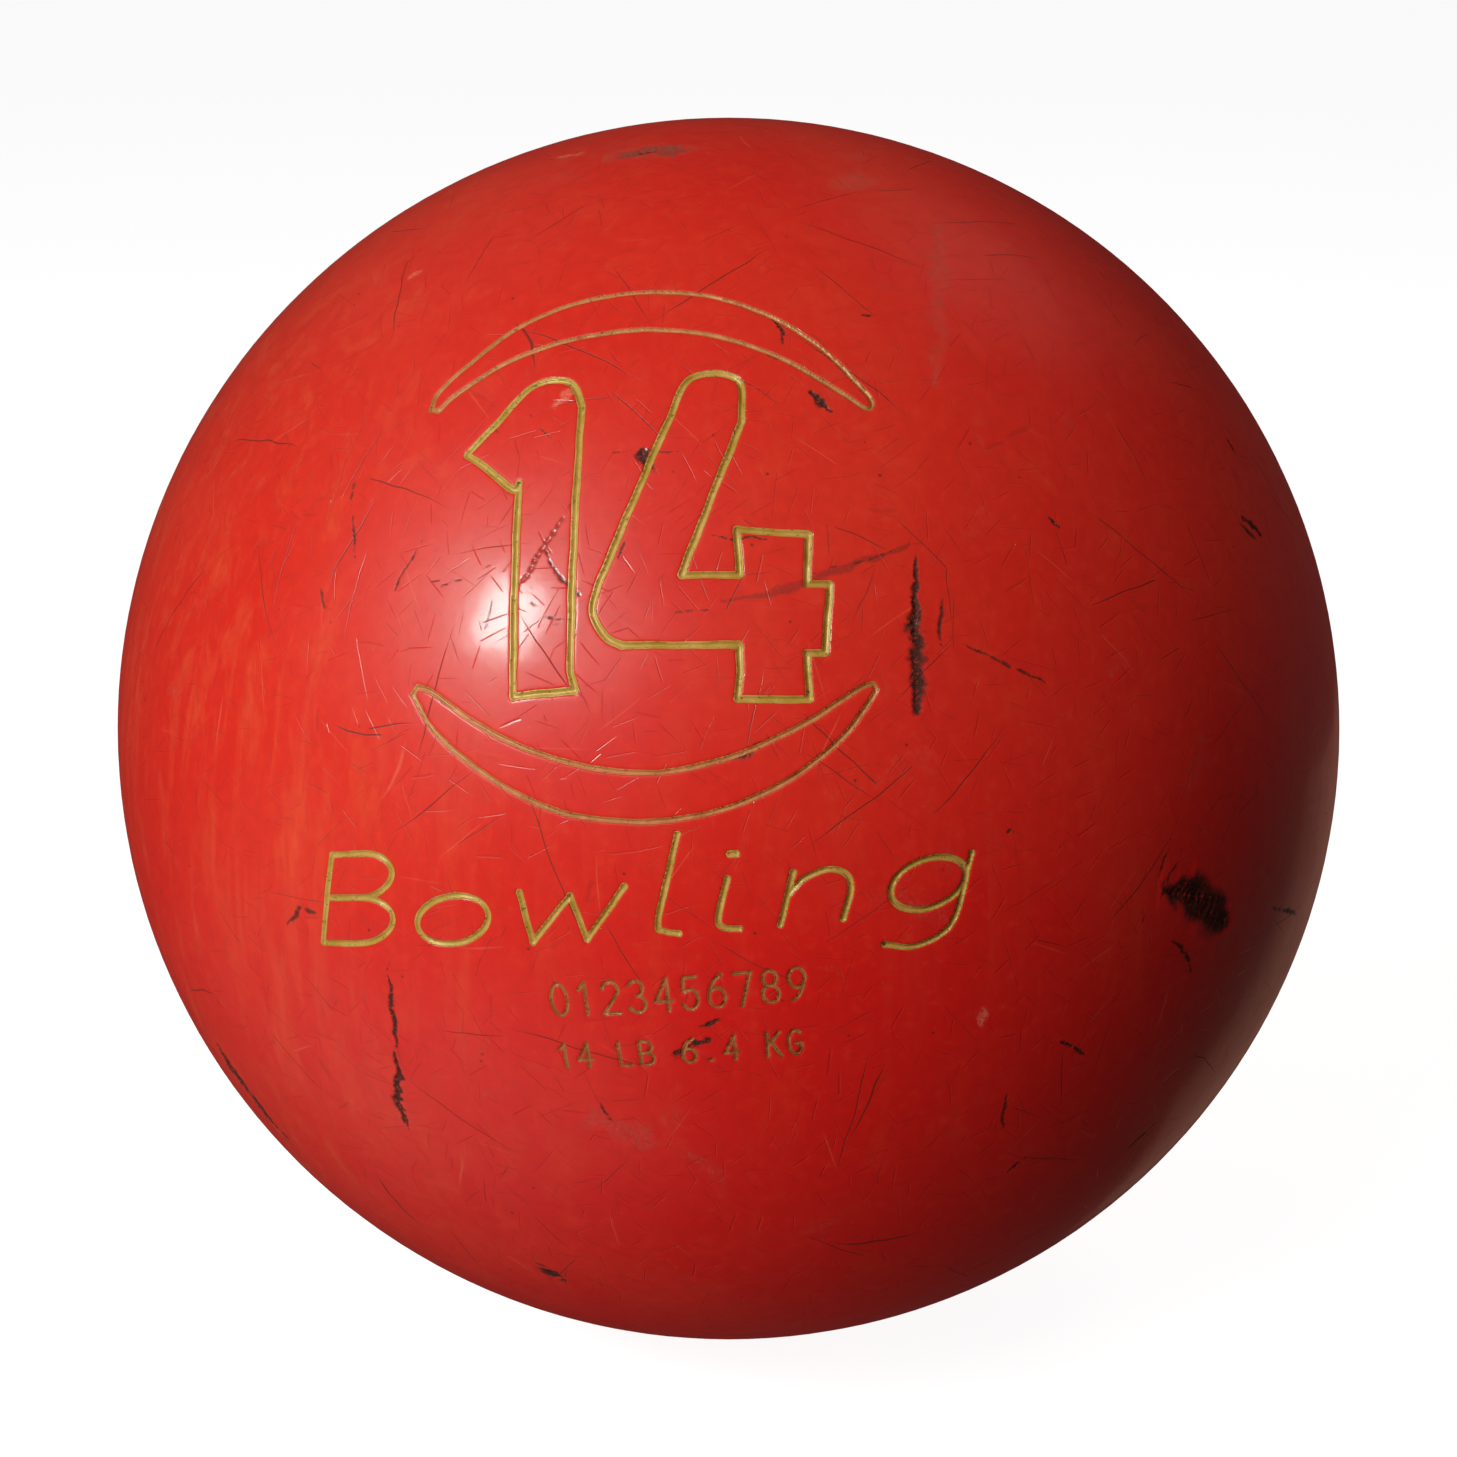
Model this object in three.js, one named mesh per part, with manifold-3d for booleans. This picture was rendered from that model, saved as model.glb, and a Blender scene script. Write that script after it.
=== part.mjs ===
// A fourteen pound ten-pin bowling ball, in millimetres, +Z up, with its origin at the ball's centre.
// A hard cover is cast round a filler core, which holds a pancake weight block under the grip. A
// coloured locator pin shows through the cover at the grip's centre. The two finger holes run in
// along +Y and the thumb hole comes in from nearer the top. The label faces the front, -Y, tilted
// up a little: a weight number between two crescents, a word and two small lines, all engraved and
// filled with gold paint. Each mark's paint is its own solid, lying loose in its groove.

import * as THREE from "three";
import { mergeVertices } from "three/addons/utils/BufferGeometryUtils.js";
import Module from "manifold-3d";

const wasm = await Module();
wasm.setup();

// Ball
const BALL_RADIUS = 108.5;
const COVER_THICKNESS = 20;
const FIT_GAP = 0.3;
const OUTSIDE_DETAIL = 9;
const INSIDE_DETAIL = 5;
const CAVITY_RADIUS = BALL_RADIUS - COVER_THICKNESS;
const CORE_RADIUS = CAVITY_RADIUS - FIT_GAP;

// Grip holes
const FINGER_RADIUS = 11.1;
const FINGER_DEPTH = 50;
const FINGER_BRIDGE = 9.5;
const THUMB_RADIUS = 12.7;
const THUMB_DEPTH = 55;
const THUMB_ANGLE = 64;
const RIM_CHAMFER = 1.2;
const OVERRUN = 8;
const ROUND_SIDES = 32;

// Weight block and locator pin, both on the grip's centre line. The block's underside is this far
// from the ball's centre, and its top follows the core.
const GRIP_ANGLE = THUMB_ANGLE / 2;
const BLOCK_RADIUS = 38;
const BLOCK_UNDERSIDE = 62;
const PIN_RADIUS = 3.5;

// Label
const LABEL_TILT = 20;
const LINE_SLOPE = 5;
const LONGEST_CHORD = 12;
const ARC_STEP = 45;
const PAINT_GAP = 0.2;
const PAINT_DROP = 0.35;
const CUTTER_PROUD = 0.8;
const FLOOR_SHARE = 0.55;
const CROSSING_STEP = 0.04;
const NUMERAL_LINE = { width: 1.8, depth: 1.2 };
const CRESCENT_LINE = { width: 1.4, depth: 1.1 };
const WORD_LINE = { width: 1.5, depth: 1.1 };
const SMALL_LINE = { width: 1, depth: 0.85 };

const radians = THREE.MathUtils.degToRad;
const point = (x, y, z) => new THREE.Vector3(x, y, z);

// A direction in the plane x = 0, at an angle up from +Y.
const fromBack = (degrees) => point(0, Math.cos(radians(degrees)), Math.sin(radians(degrees)));

// A three.js geometry as a solid that can be joined and cut.
function solid(geometry) {
  geometry.deleteAttribute("normal");
  geometry.deleteAttribute("uv");
  const merged = mergeVertices(geometry);
  const mesh = new wasm.Mesh({
    numProp: 3,
    vertProperties: merged.attributes.position.array,
    triVerts: new Uint32Array(merged.index.array),
  });
  return new wasm.Manifold(mesh);
}

const joined = (solids) => solids.reduce((whole, next) => whole.add(next));

// A solid as a named mesh of its own material.
function piece(name, shape, material) {
  const mesh = shape.getMesh();
  const geometry = new THREE.BufferGeometry();
  geometry.setAttribute("position", new THREE.BufferAttribute(mesh.vertProperties, 3));
  geometry.setIndex(new THREE.BufferAttribute(mesh.triVerts, 1));
  geometry.computeVertexNormals();
  const made = new THREE.Mesh(geometry, material);
  made.name = name;
  return made;
}

const ball = (radius, detail) => solid(new THREE.IcosahedronGeometry(radius, detail));

// A round bar between two points, or a cone where its two radii differ.
function bar(start, end, startRadius, endRadius = startRadius) {
  const along = end.clone().sub(start);
  const geometry = new THREE.CylinderGeometry(endRadius, startRadius, along.length(), ROUND_SIDES);
  const turn = new THREE.Quaternion().setFromUnitVectors(point(0, 1, 0), along.clone().normalize());
  geometry.applyQuaternion(turn);
  geometry.translate(...start.clone().addScaledVector(along, 0.5));
  return solid(geometry);
}

// ---- Grip holes ----

// A hole drilled along an axis that passes the ball's centre at the given offset.
function gripHole(radius, depth, axis, offset) {
  const reach = Math.sqrt(BALL_RADIUS ** 2 - offset.lengthSq());
  const mouth = offset.clone().addScaledVector(axis, reach);
  return { radius, axis, mouth, floor: mouth.clone().addScaledVector(axis, -depth) };
}

// The drill's path and the countersink that breaks the hole's edge.
function drilled(hole) {
  const outside = hole.mouth.clone().addScaledVector(hole.axis, OVERRUN);
  const bore = bar(hole.floor, outside, hole.radius);
  const facing = hole.mouth.clone().normalize();
  const rimDrop = hole.radius ** 2 / (2 * BALL_RADIUS) + RIM_CHAMFER;
  const coneStart = hole.mouth.clone().addScaledVector(facing, -rimDrop);
  const coneEnd = hole.mouth.clone().addScaledVector(facing, OVERRUN);
  return bore.add(bar(coneStart, coneEnd, hole.radius, hole.radius + rimDrop + OVERRUN));
}

function gripHoles() {
  const apart = FINGER_RADIUS + FINGER_BRIDGE / 2;
  const back = fromBack(0);
  const fingers = [-apart, apart].map((x) => gripHole(FINGER_RADIUS, FINGER_DEPTH, back, point(x, 0, 0)));
  const thumb = gripHole(THUMB_RADIUS, THUMB_DEPTH, fromBack(THUMB_ANGLE), point(0, 0, 0));
  return joined([...fingers, thumb].map(drilled));
}

// ---- Label strokes ----

// A place on the label, u to the right and v up along the ball's surface from the label's centre.
function onLabel([u, v]) {
  const away = Math.hypot(u, v);
  const angle = away / BALL_RADIUS;
  const facing = point(0, -Math.cos(radians(LABEL_TILT)), Math.sin(radians(LABEL_TILT)));
  const up = point(0, Math.sin(radians(LABEL_TILT)), Math.cos(radians(LABEL_TILT)));
  const sideways = point(u, 0, 0).addScaledVector(up, v).divideScalar(away || 1);
  return facing.multiplyScalar(Math.cos(angle)).addScaledVector(sideways, Math.sin(angle));
}

// Long straight stretches are cut into chords that stay close to the ball.
function withShortChords(points) {
  return points.flatMap(([u, v], i) => {
    if (i === 0) return [[u, v]];
    const [fromU, fromV] = points[i - 1];
    const chords = Math.ceil(Math.hypot(u - fromU, v - fromV) / LONGEST_CHORD);
    return Array.from({ length: chords }, (_, k) => {
      const share = (k + 1) / chords;
      return [fromU + (u - fromU) * share, fromV + (v - fromV) * share];
    });
  });
}

// An open stroke overruns both its ends by half its width.
function overrun(knots, width) {
  const beyond = ([u, v], [fromU, fromV]) => {
    const share = width / 2 / Math.hypot(u - fromU, v - fromV);
    return [u + (u - fromU) * share, v + (v - fromV) * share];
  };
  return [beyond(knots[0], knots[1]), ...knots.slice(1, -1), beyond(knots.at(-1), knots.at(-2))];
}

// A stretch of a stroke over the ball: its knots as directions from the ball's centre, and the
// sideways direction of its section at each.
class StrokePath extends THREE.Curve {
  constructor(radials, mitres) {
    super();
    this.radials = radials;
    this.mitres = mitres;
  }

  getSpacedPoints() {
    return this.radials.map((radial) => radial.clone().multiplyScalar(BALL_RADIUS));
  }

  computeFrenetFrames() {
    return { tangents: [], normals: this.mitres, binormals: this.radials };
  }
}

// The sideways direction that mitres two chords, longer where they turn more.
function mitre(before, after) {
  const middle = before.clone().add(after).normalize();
  return middle.divideScalar(middle.dot(after));
}

// A stroke's paths. A loop, whose last point is its first, is two halves that meet end to end.
function pathsOf(points, width) {
  const isLoop = points.at(-1) === points[0];
  const knots = withShortChords(points);
  const radials = (isLoop ? knots : overrun(knots, width)).map(onLabel);
  if (isLoop) radials[radials.length - 1] = radials[0];
  const sides = radials.slice(1).map((radial, i) => radials[i].clone().cross(radial).normalize());
  const last = radials.length - 1;
  const mitres = radials.map((_, i) => {
    const before = sides[i - 1] ?? sides[isLoop ? last - 1 : 0];
    const after = sides[i] ?? sides[isLoop ? 0 : last - 1];
    return mitre(before, after);
  });
  const middle = Math.floor(last / 2);
  const stretches = isLoop ? [[0, middle], [middle, last]] : [[0, last]];
  const between = (knotItems, [from, to]) => knotItems.slice(from, to + 1);
  return stretches.map((ends) => new StrokePath(between(radials, ends), between(mitres, ends)));
}

// A groove's section narrows towards its floor. Its heights are measured from the ball's surface.
function section(line, top, bottom, gap) {
  const halfWidth = (height) => (line.width / 2) * (1 + (1 - FLOOR_SHARE) * (height / line.depth)) - gap;
  return new THREE.Shape([
    new THREE.Vector2(-halfWidth(top), top),
    new THREE.Vector2(-halfWidth(bottom), bottom),
    new THREE.Vector2(halfWidth(bottom), bottom),
    new THREE.Vector2(halfWidth(top), top),
  ]);
}

// A mark's strokes as one solid. Each later stroke is a little thinner than the one before, so that
// strokes that cross have no two faces in one plane.
function swept({ strokes, line }, top, bottom, gap) {
  const solids = strokes.flatMap((points, i) => {
    const inset = i * CROSSING_STEP;
    const shape = section(line, top - inset, bottom + inset, gap);
    return pathsOf(points, line.width).map((extrudePath) => {
      const steps = extrudePath.radials.length - 1;
      return solid(new THREE.ExtrudeGeometry(shape, { extrudePath, steps }));
    });
  });
  return joined(solids);
}

const groove = (mark) => swept(mark, CUTTER_PROUD, -mark.line.depth, 0);

const paint = (mark) => swept(mark, -PAINT_DROP, PAINT_GAP - mark.line.depth, PAINT_GAP);

// ---- Shapes of the marks ----

// An elliptical arc between two angles in degrees, anticlockwise from the right.
function arc(centreX, centreY, radiusX, radiusY, from, to) {
  const steps = Math.ceil(Math.abs(to - from) / ARC_STEP);
  return Array.from({ length: steps + 1 }, (_, i) => {
    const angle = radians(from + ((to - from) * i) / steps);
    return [centreX + radiusX * Math.cos(angle), centreY + radiusY * Math.sin(angle)];
  });
}

const loop = (points) => [...points, points[0]];

const ring = (x, y, radiusX, radiusY) => loop(arc(x, y, radiusX, radiusY, 90, 450).slice(1));

// Each straight edge of an outline as a stroke of its own, where a corner is too sharp to mitre.
const edges = (corners) => corners.slice(1).map((corner, i) => [corners[i], corner]);

// A stroke with each point moved. A loop stays one.
function redrawn(stroke, move) {
  const points = stroke.map(move);
  return stroke.at(-1) === stroke[0] ? loop(points.slice(0, -1)) : points;
}

// A smooth run through a few points.
function smooth(points) {
  const curve = new THREE.SplineCurve(points.map(([u, v]) => new THREE.Vector2(u, v)));
  return curve.getPoints(2 * (points.length - 1)).map(({ x, y }) => [x, y]);
}

const NUMERAL_1 = loop([
  ...[[-33.5, 38.2], [-38.6, 41.6], [-42.8, 44.8]],
  ...smooth([[-38, 50], [-34.3, 54.6], [-31.5, 56.8], [-28.4, 57.3], [-25.4, 56.2], [-23.7, 52]]),
  ...[[-24.1, 20], [-24.1, 8.5], [-23.4, 5.8], [-33.2, 4.9]],
]);

const NUMERAL_4 = loop([
  ...smooth([[-16.2, 12.6], [-18.4, 13.7], [-20.1, 15.8], [-20.8, 18.4], [-20, 21.8]]),
  ...smooth([[-9.1, 50], [-7.2, 55.2], [-4.6, 57.2], [-0.8, 57.3], [1.9, 55.3], [2.1, 48.6]]),
  ...[[-7.2, 23.3], [1.7, 23.4], [1.3, 30.5], [12.3, 29.8], [12, 22], [15.5, 22]],
  ...[[14.7, 11.5], [11.8, 11.4], [12.3, 4.4], [1.3, 4.4], [1.8, 8.5], [1.6, 12.6]],
]);

const UPPER_CRESCENT = [loop(smooth([
  ...[[-50.4, 54], [-49.6, 57], [-44.8, 61.9], [-36, 68.9], [-26, 73], [-15, 74.4], [-4, 73.3]],
  ...[[6, 69.4], [14.5, 63.4], [21.6, 55.4], [23.2, 52.8], [22.2, 51.6], [18, 54.4], [9, 60.2]],
  ...[[-1.5, 64.5], [-13, 66.3], [-25, 65.4], [-36, 62.3], [-45.2, 57], [-49, 53.6]],
]))];
const LOWER_CRESCENT = [loop(smooth([
  ...[[-50.2, 5.4], [-46.4, -0.4], [-38, -7], [-27, -12.4], [-15, -14.1], [-4, -13]],
  ...[[6.5, -9.2], [16, -2.6], [21.8, 4.6], [22.3, 6.4], [20.4, 6.3], [10.5, 0.2], [-1, -4.7]],
  ...[[-13, -6.7], [-25.5, -4.9], [-37, -0.5], [-46.5, 5.5], [-49.4, 6.6]],
]))];

// Plain single-line characters, one unit tall. The loop and tail of a 6 turn over into a 9.
const SIX = [ring(0.3, 0.3, 0.3, 0.3), [[0, 0.3], [0.08, 0.62], [0.28, 0.88], [0.5, 1]]];
const CHARACTERS = {
  0: [ring(0.3, 0.5, 0.3, 0.5)],
  1: edges([[0.1, 0.78], [0.34, 1], [0.34, 0]]),
  2: [[...arc(0.3, 0.72, 0.29, 0.28, 165, -20), [0, 0]], [[0, 0], [0.6, 0]]],
  3: [arc(0.28, 0.76, 0.26, 0.24, 150, -90), arc(0.28, 0.26, 0.31, 0.26, 90, -150)],
  4: edges([[0.45, 0], [0.45, 1], [0, 0.3], [0.6, 0.3]]),
  5: [[[0.55, 1], [0.1, 1], [0.05, 0.55], ...arc(0.28, 0.31, 0.3, 0.31, 90, -150)]],
  6: SIX,
  7: [[[0, 1], [0.6, 1], [0.22, 0]]],
  8: [ring(0.3, 0.76, 0.25, 0.24), ring(0.3, 0.27, 0.3, 0.27)],
  9: SIX.map((stroke) => redrawn(stroke, ([x, y]) => [0.6 - x, 1 - y])),
  ".": [[[0.26, 0.05], [0.34, 0.05]]],
  L: [[[0, 1], [0, 0], [0.52, 0]]],
  B: [
    [[0, 0], [0, 1], ...arc(0.28, 0.76, 0.26, 0.24, 90, -90), [0, 0.52]],
    [[0, 0.52], ...arc(0.3, 0.26, 0.3, 0.26, 90, -90), [0, 0]],
  ],
  K: [[[0, 0], [0, 1]], [[0.55, 1], [0, 0.4]], [[0.2, 0.6], [0.58, 0]]],
  G: [[...arc(0.32, 0.5, 0.32, 0.5, 50, 330), [0.6, 0.45], [0.34, 0.45]]],
  o: [ring(0.27, 0.26, 0.27, 0.26)],
  w: edges([[0, 0.52], [0.16, 0], [0.36, 0.46], [0.54, 0], [0.72, 0.52]]),
  l: [[[0, 1], [0, 0.16], [0.05, 0.04], [0.16, 0]]],
  i: [[[0, 0.52], [0, 0.14], [0.05, 0.03], [0.16, 0]]],
  dot: [[[-0.02, 0.76], [0.02, 0.76]]],
  n: [
    [[0, 0.52], [0, 0]],
    [[0, 0.3], [0.08, 0.44], [0.22, 0.52], [0.36, 0.46], [0.42, 0.3], [0.42, 0]],
  ],
  g: [
    ring(0.26, 0.26, 0.26, 0.26),
    [[0.52, 0.52], [0.52, -0.12], [0.44, -0.3], [0.26, -0.38], [0.06, -0.32]],
  ],
};

// One character on a sloping line of the label. A style gives the line's start, its characters'
// height, how much they are stretched sideways and their lean, as a share of the height.
function character(key, along, { start: [startU, startV], height, stretch, lean }) {
  const slope = radians(LINE_SLOPE);
  return CHARACTERS[key].map((stroke) =>
    redrawn(stroke, ([x, y]) => {
      const across = along + height * (stretch * x + lean * y);
      const up = height * y;
      return [
        startU + across * Math.cos(slope) - up * Math.sin(slope),
        startV + across * Math.sin(slope) + up * Math.cos(slope),
      ];
    }),
  );
}

// The word, with each letter's place along the line as a share of the capital's height.
const WORD = { start: [-70, -37], height: 15.5, stretch: 1.5, lean: 0.32 };
const WORD_LETTERS = { B: 0, o: 1.2, w: 2.3, l: 3.8, i: 4.4, dot: 4.4, n: 5.05, g: 6.1 };

function wordMarks() {
  return Object.entries(WORD_LETTERS).map(([key, place]) => ({
    name: `word_${key.toLowerCase()}_paint`,
    strokes: character(key, place * WORD.height, WORD),
    line: WORD_LINE,
  }));
}

// A line of small characters at an even pitch. A name gives each one's place in the line.
const SERIAL_TEXT = "0123456789";
const SERIAL = { start: [-28, -46], height: 5.4, pitch: 4.2, stretch: 0.8, lean: 0 };
const WEIGHT_TEXT = "14 LB 6.4 KG";
const WEIGHT = { start: [-27.5, -55.4], height: 4.2, pitch: 3.4, stretch: 0.85, lean: 0 };

function smallMarks(lineName, text, style) {
  return [...text].flatMap((key, i) => {
    if (key === " ") return [];
    const strokes = character(key, i * style.pitch, style);
    return { name: `${lineName}_mark_${i + 1}_paint`, strokes, line: SMALL_LINE };
  });
}

const MARKS = [
  { name: "numeral_1_paint", strokes: [NUMERAL_1], line: NUMERAL_LINE },
  { name: "numeral_4_paint", strokes: [NUMERAL_4], line: NUMERAL_LINE },
  { name: "upper_crescent_paint", strokes: UPPER_CRESCENT, line: CRESCENT_LINE },
  { name: "lower_crescent_paint", strokes: LOWER_CRESCENT, line: CRESCENT_LINE },
  ...wordMarks(),
  ...smallMarks("serial_line", SERIAL_TEXT, SERIAL),
  ...smallMarks("weight_line", WEIGHT_TEXT, WEIGHT),
];

// ---- Pieces ----

const gripCentre = fromBack(GRIP_ANGLE);
const onGrip = (distance) => gripCentre.clone().multiplyScalar(distance);
const holes = gripHoles();

function coverstock() {
  const pinHole = bar(onGrip(CORE_RADIUS), onGrip(BALL_RADIUS + OVERRUN), PIN_RADIUS + FIT_GAP);
  return ball(BALL_RADIUS, OUTSIDE_DETAIL)
    .subtract(ball(CAVITY_RADIUS, INSIDE_DETAIL))
    .subtract(holes)
    .subtract(pinHole)
    .subtract(joined(MARKS.map(groove)));
}

// The pancake's shape before drilling, and the pocket that it fills where the gap isn't 0.
const pancake = (gap) => bar(onGrip(BLOCK_UNDERSIDE - gap), onGrip(BALL_RADIUS), BLOCK_RADIUS + gap);

const outerCore = () => ball(CORE_RADIUS, INSIDE_DETAIL).subtract(pancake(FIT_GAP)).subtract(holes);

const weightBlock = () => pancake(0).intersect(ball(CORE_RADIUS, INSIDE_DETAIL)).subtract(holes);

function locatorPin() {
  const rod = bar(onGrip(CAVITY_RADIUS), onGrip(BALL_RADIUS + OVERRUN), PIN_RADIUS);
  return rod.intersect(ball(BALL_RADIUS, OUTSIDE_DETAIL));
}

const finish = (color, roughness) => new THREE.MeshStandardMaterial({ color, roughness, metalness: 0 });
const coverRed = finish(0xc92a1e, 0.25);
const fillerGrey = finish(0x8f8677, 0.85);
const blockBrown = finish(0x5d4632, 0.8);
const pinCream = finish(0xe6dcc0, 0.3);
const labelGold = finish(0xb8923a, 0.35);

const bowlingBall = new THREE.Group();
bowlingBall.add(
  piece("coverstock", coverstock(), coverRed),
  piece("outer_core", outerCore(), fillerGrey),
  piece("weight_block", weightBlock(), blockBrown),
  piece("locator_pin", locatorPin(), pinCream),
  ...MARKS.map((mark) => piece(mark.name, paint(mark), labelGold)),
);

export default bowlingBall;
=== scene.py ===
"""A used fourteen pound bowling ball: engraved label, gold paint in the grooves, scuffs and gouges.

The shapes are worked out in millimetres, in the part's own frame, and become metres as they turn
into Blender meshes. Places on the label are (u, v) pairs: u to the right and v up along the ball's
surface from the label's centre.
"""
import math

import bmesh
import bpy
import numpy as np
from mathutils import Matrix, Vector, kdtree


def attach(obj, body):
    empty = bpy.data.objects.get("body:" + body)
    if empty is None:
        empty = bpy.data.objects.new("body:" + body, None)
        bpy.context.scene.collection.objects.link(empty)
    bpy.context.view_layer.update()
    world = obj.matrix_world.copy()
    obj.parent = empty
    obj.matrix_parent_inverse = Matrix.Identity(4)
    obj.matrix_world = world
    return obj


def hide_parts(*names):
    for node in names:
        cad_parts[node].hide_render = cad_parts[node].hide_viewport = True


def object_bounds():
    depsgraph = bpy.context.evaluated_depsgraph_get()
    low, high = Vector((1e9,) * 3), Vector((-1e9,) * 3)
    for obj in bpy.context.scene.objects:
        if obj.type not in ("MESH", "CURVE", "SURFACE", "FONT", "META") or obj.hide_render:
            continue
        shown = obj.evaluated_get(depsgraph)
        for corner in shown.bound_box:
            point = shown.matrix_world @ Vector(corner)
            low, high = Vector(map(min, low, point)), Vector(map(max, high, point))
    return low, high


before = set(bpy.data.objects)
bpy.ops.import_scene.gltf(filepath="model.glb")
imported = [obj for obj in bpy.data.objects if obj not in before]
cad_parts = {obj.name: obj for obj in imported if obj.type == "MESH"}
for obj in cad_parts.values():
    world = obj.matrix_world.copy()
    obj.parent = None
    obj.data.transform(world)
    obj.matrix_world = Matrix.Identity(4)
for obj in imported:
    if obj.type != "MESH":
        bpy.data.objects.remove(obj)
CAD_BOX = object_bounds()

MM = 0.001

# Ball
BALL_RADIUS = 108.5
CAVITY_RADIUS = 88.5
CORE_RADIUS = 88.2

# Grip
FINGER_RADIUS = 11.1
FINGER_DEPTH = 50.0
FINGER_BRIDGE = 9.5
THUMB_RADIUS = 12.7
THUMB_DEPTH = 55.0
THUMB_ANGLE = 64.0
RIM_ROUND = 1.7
RIM_SWEEP = 74.0
CUTTER_REACH = 8.0
SEGMENTS = 96
GRIP_ANGLE = THUMB_ANGLE / 2
BLOCK_RADIUS = 38.0
BLOCK_UNDERSIDE = 62.0
PIN_RADIUS = 3.5
PIN_GAP = 0.06
PIN_SEGMENTS = 64
FIT_GAP = 0.3

# Label
LABEL_TILT = 20.0
LINE_SLOPE = 5.0
ARC_STEP = 11.0
STROKE_STEP = 0.3
LIP_DROP = 0.05
LIP_REACH = 0.16
PAINT_SKIN = 0.16
PAINT_RISE = 0.008
PAINT_GAP = 0.003
PAINT_UNEVEN = 0.02
NUMERAL_LINE = {"width": 1.18, "depth": 0.58, "grain": 0.34, "paint": "thick"}
CRESCENT_LINE = {"width": 0.88, "depth": 0.4, "grain": 0.29, "paint": "worn"}
WORD_LINE = {"width": 1.02, "depth": 0.45, "grain": 0.3, "paint": "thick"}
SMALL_LINE = {"width": 0.6, "depth": 0.25, "grain": 0.2, "paint": "thin"}

# Meshing: side lengths, how fast they grow away from a mark, and the fine band past a lip
FINEST = 0.29
COARSEST = 4.8
INSIDE_COARSEST = 5.0
CAVITY_COARSEST = 6.0
GRADING = 0.58
REFINE_BAND = 0.15

# Out of round
WAVE_HEIGHT = 0.012
WAVE_LENGTH = 21.0

# Stage and camera, in metres and degrees
FLOOR_HALF = 9.0
DOME_RADIUS = 8.5
CAMERA_DISTANCE = 6 * BALL_RADIUS * MM
CAMERA_ANGLE = 22.79


def direction(angle_up):
    """A direction in the plane x = 0, at an angle in degrees up from +Y."""
    return np.array([0.0, math.cos(math.radians(angle_up)), math.sin(math.radians(angle_up))])


def unit(vectors):
    return vectors / np.linalg.norm(vectors, axis=-1, keepdims=True)


FACING = direction(180 - LABEL_TILT)
LABEL_RIGHT = np.array([1.0, 0.0, 0.0])
LABEL_UP = direction(90 - LABEL_TILT)


def on_label(points):
    """The directions from the ball's centre of (u, v) places on the label."""
    points = np.asarray(points, float).reshape(-1, 2)
    away = np.linalg.norm(points, axis=1)
    angle = away / BALL_RADIUS
    share = np.sin(angle) / np.maximum(away, 1e-9)
    sideways = points[:, :1] * LABEL_RIGHT + points[:, 1:] * LABEL_UP
    return np.cos(angle)[:, None] * FACING + share[:, None] * sideways


# ---- Label strokes ----

def arc(centre_x, centre_y, radius_x, radius_y, start, end):
    """An elliptical arc between two angles in degrees, anticlockwise from the right."""
    steps = math.ceil(abs(end - start) / ARC_STEP)
    angles = np.radians(np.linspace(start, end, steps + 1))
    xs = centre_x + radius_x * np.cos(angles)
    ys = centre_y + radius_y * np.sin(angles)
    return list(zip(xs, ys))


def ring(x, y, radius_x, radius_y):
    return arc(x, y, radius_x, radius_y, 90, 450)


def loop(points):
    return [*points, points[0]]


def edges(corners):
    return [[a, b] for a, b in zip(corners, corners[1:])]


def smooth(points, steps=8):
    """A smooth run through a few points, as a Catmull-Rom spline."""
    knots = np.asarray(points, float)
    padded = np.vstack([2 * knots[0] - knots[1], knots, 2 * knots[-1] - knots[-2]])
    run = []
    for a, b, c, d in zip(padded, padded[1:], padded[2:], padded[3:]):
        for t in np.arange(steps) / steps:
            run.append(0.5 * (2 * b + (c - a) * t + (2 * a - 5 * b + 4 * c - d) * t ** 2
                              + (3 * b - a - 3 * c + d) * t ** 3))
    return [tuple(point) for point in [*run, knots[-1]]]


NUMERAL_1 = loop([
    *smooth([(-33.4, 39), (-34.4, 38.1), (-38.6, 41.6), (-42.8, 44.8)]),
    *smooth([(-38, 50), (-34.3, 54.6), (-31.5, 56.8), (-28.4, 57.3), (-25.4, 56.2), (-23.7, 52)]),
    (-24.1, 20), (-24.1, 8.5), (-23.4, 5.8), (-33.2, 4.9),
])
NUMERAL_4 = loop([
    *smooth([(-16.2, 12.6), (-18.4, 13.7), (-20.1, 15.8), (-20.8, 18.4), (-20, 21.8)]),
    *smooth([(-9.1, 50), (-7.2, 55.2), (-4.6, 57.2), (-0.8, 57.3), (1.9, 55.3), (2.1, 48.6)]),
    (-7.2, 23.3), (1.7, 23.4), (1.3, 30.5), (12.3, 29.8), (12, 22), (15.5, 22),
    (14.7, 11.5), (11.8, 11.4), (12.3, 4.4), (1.3, 4.4), (1.8, 8.5), (1.6, 12.6),
])
UPPER_CRESCENT = loop(smooth([
    (-50.4, 54), (-49.6, 57), (-44.8, 61.9), (-36, 68.9), (-26, 73), (-15, 74.4), (-4, 73.3),
    (6, 69.4), (14.5, 63.4), (21.6, 55.4), (23.2, 52.8), (22.2, 51.6), (18, 54.4), (9, 60.2),
    (-1.5, 64.5), (-13, 66.3), (-25, 65.4), (-36, 62.3), (-45.2, 57), (-49, 53.6),
]))
LOWER_CRESCENT = loop(smooth([
    (-50.2, 5.4), (-46.4, -0.4), (-38, -7), (-27, -12.4), (-15, -14.1), (-4, -13),
    (6.5, -9.2), (16, -2.6), (21.8, 4.6), (22.3, 6.4), (20.4, 6.3), (10.5, 0.2), (-1, -4.7),
    (-13, -6.7), (-25.5, -4.9), (-37, -0.5), (-46.5, 5.5), (-49.4, 6.6),
]))

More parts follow.
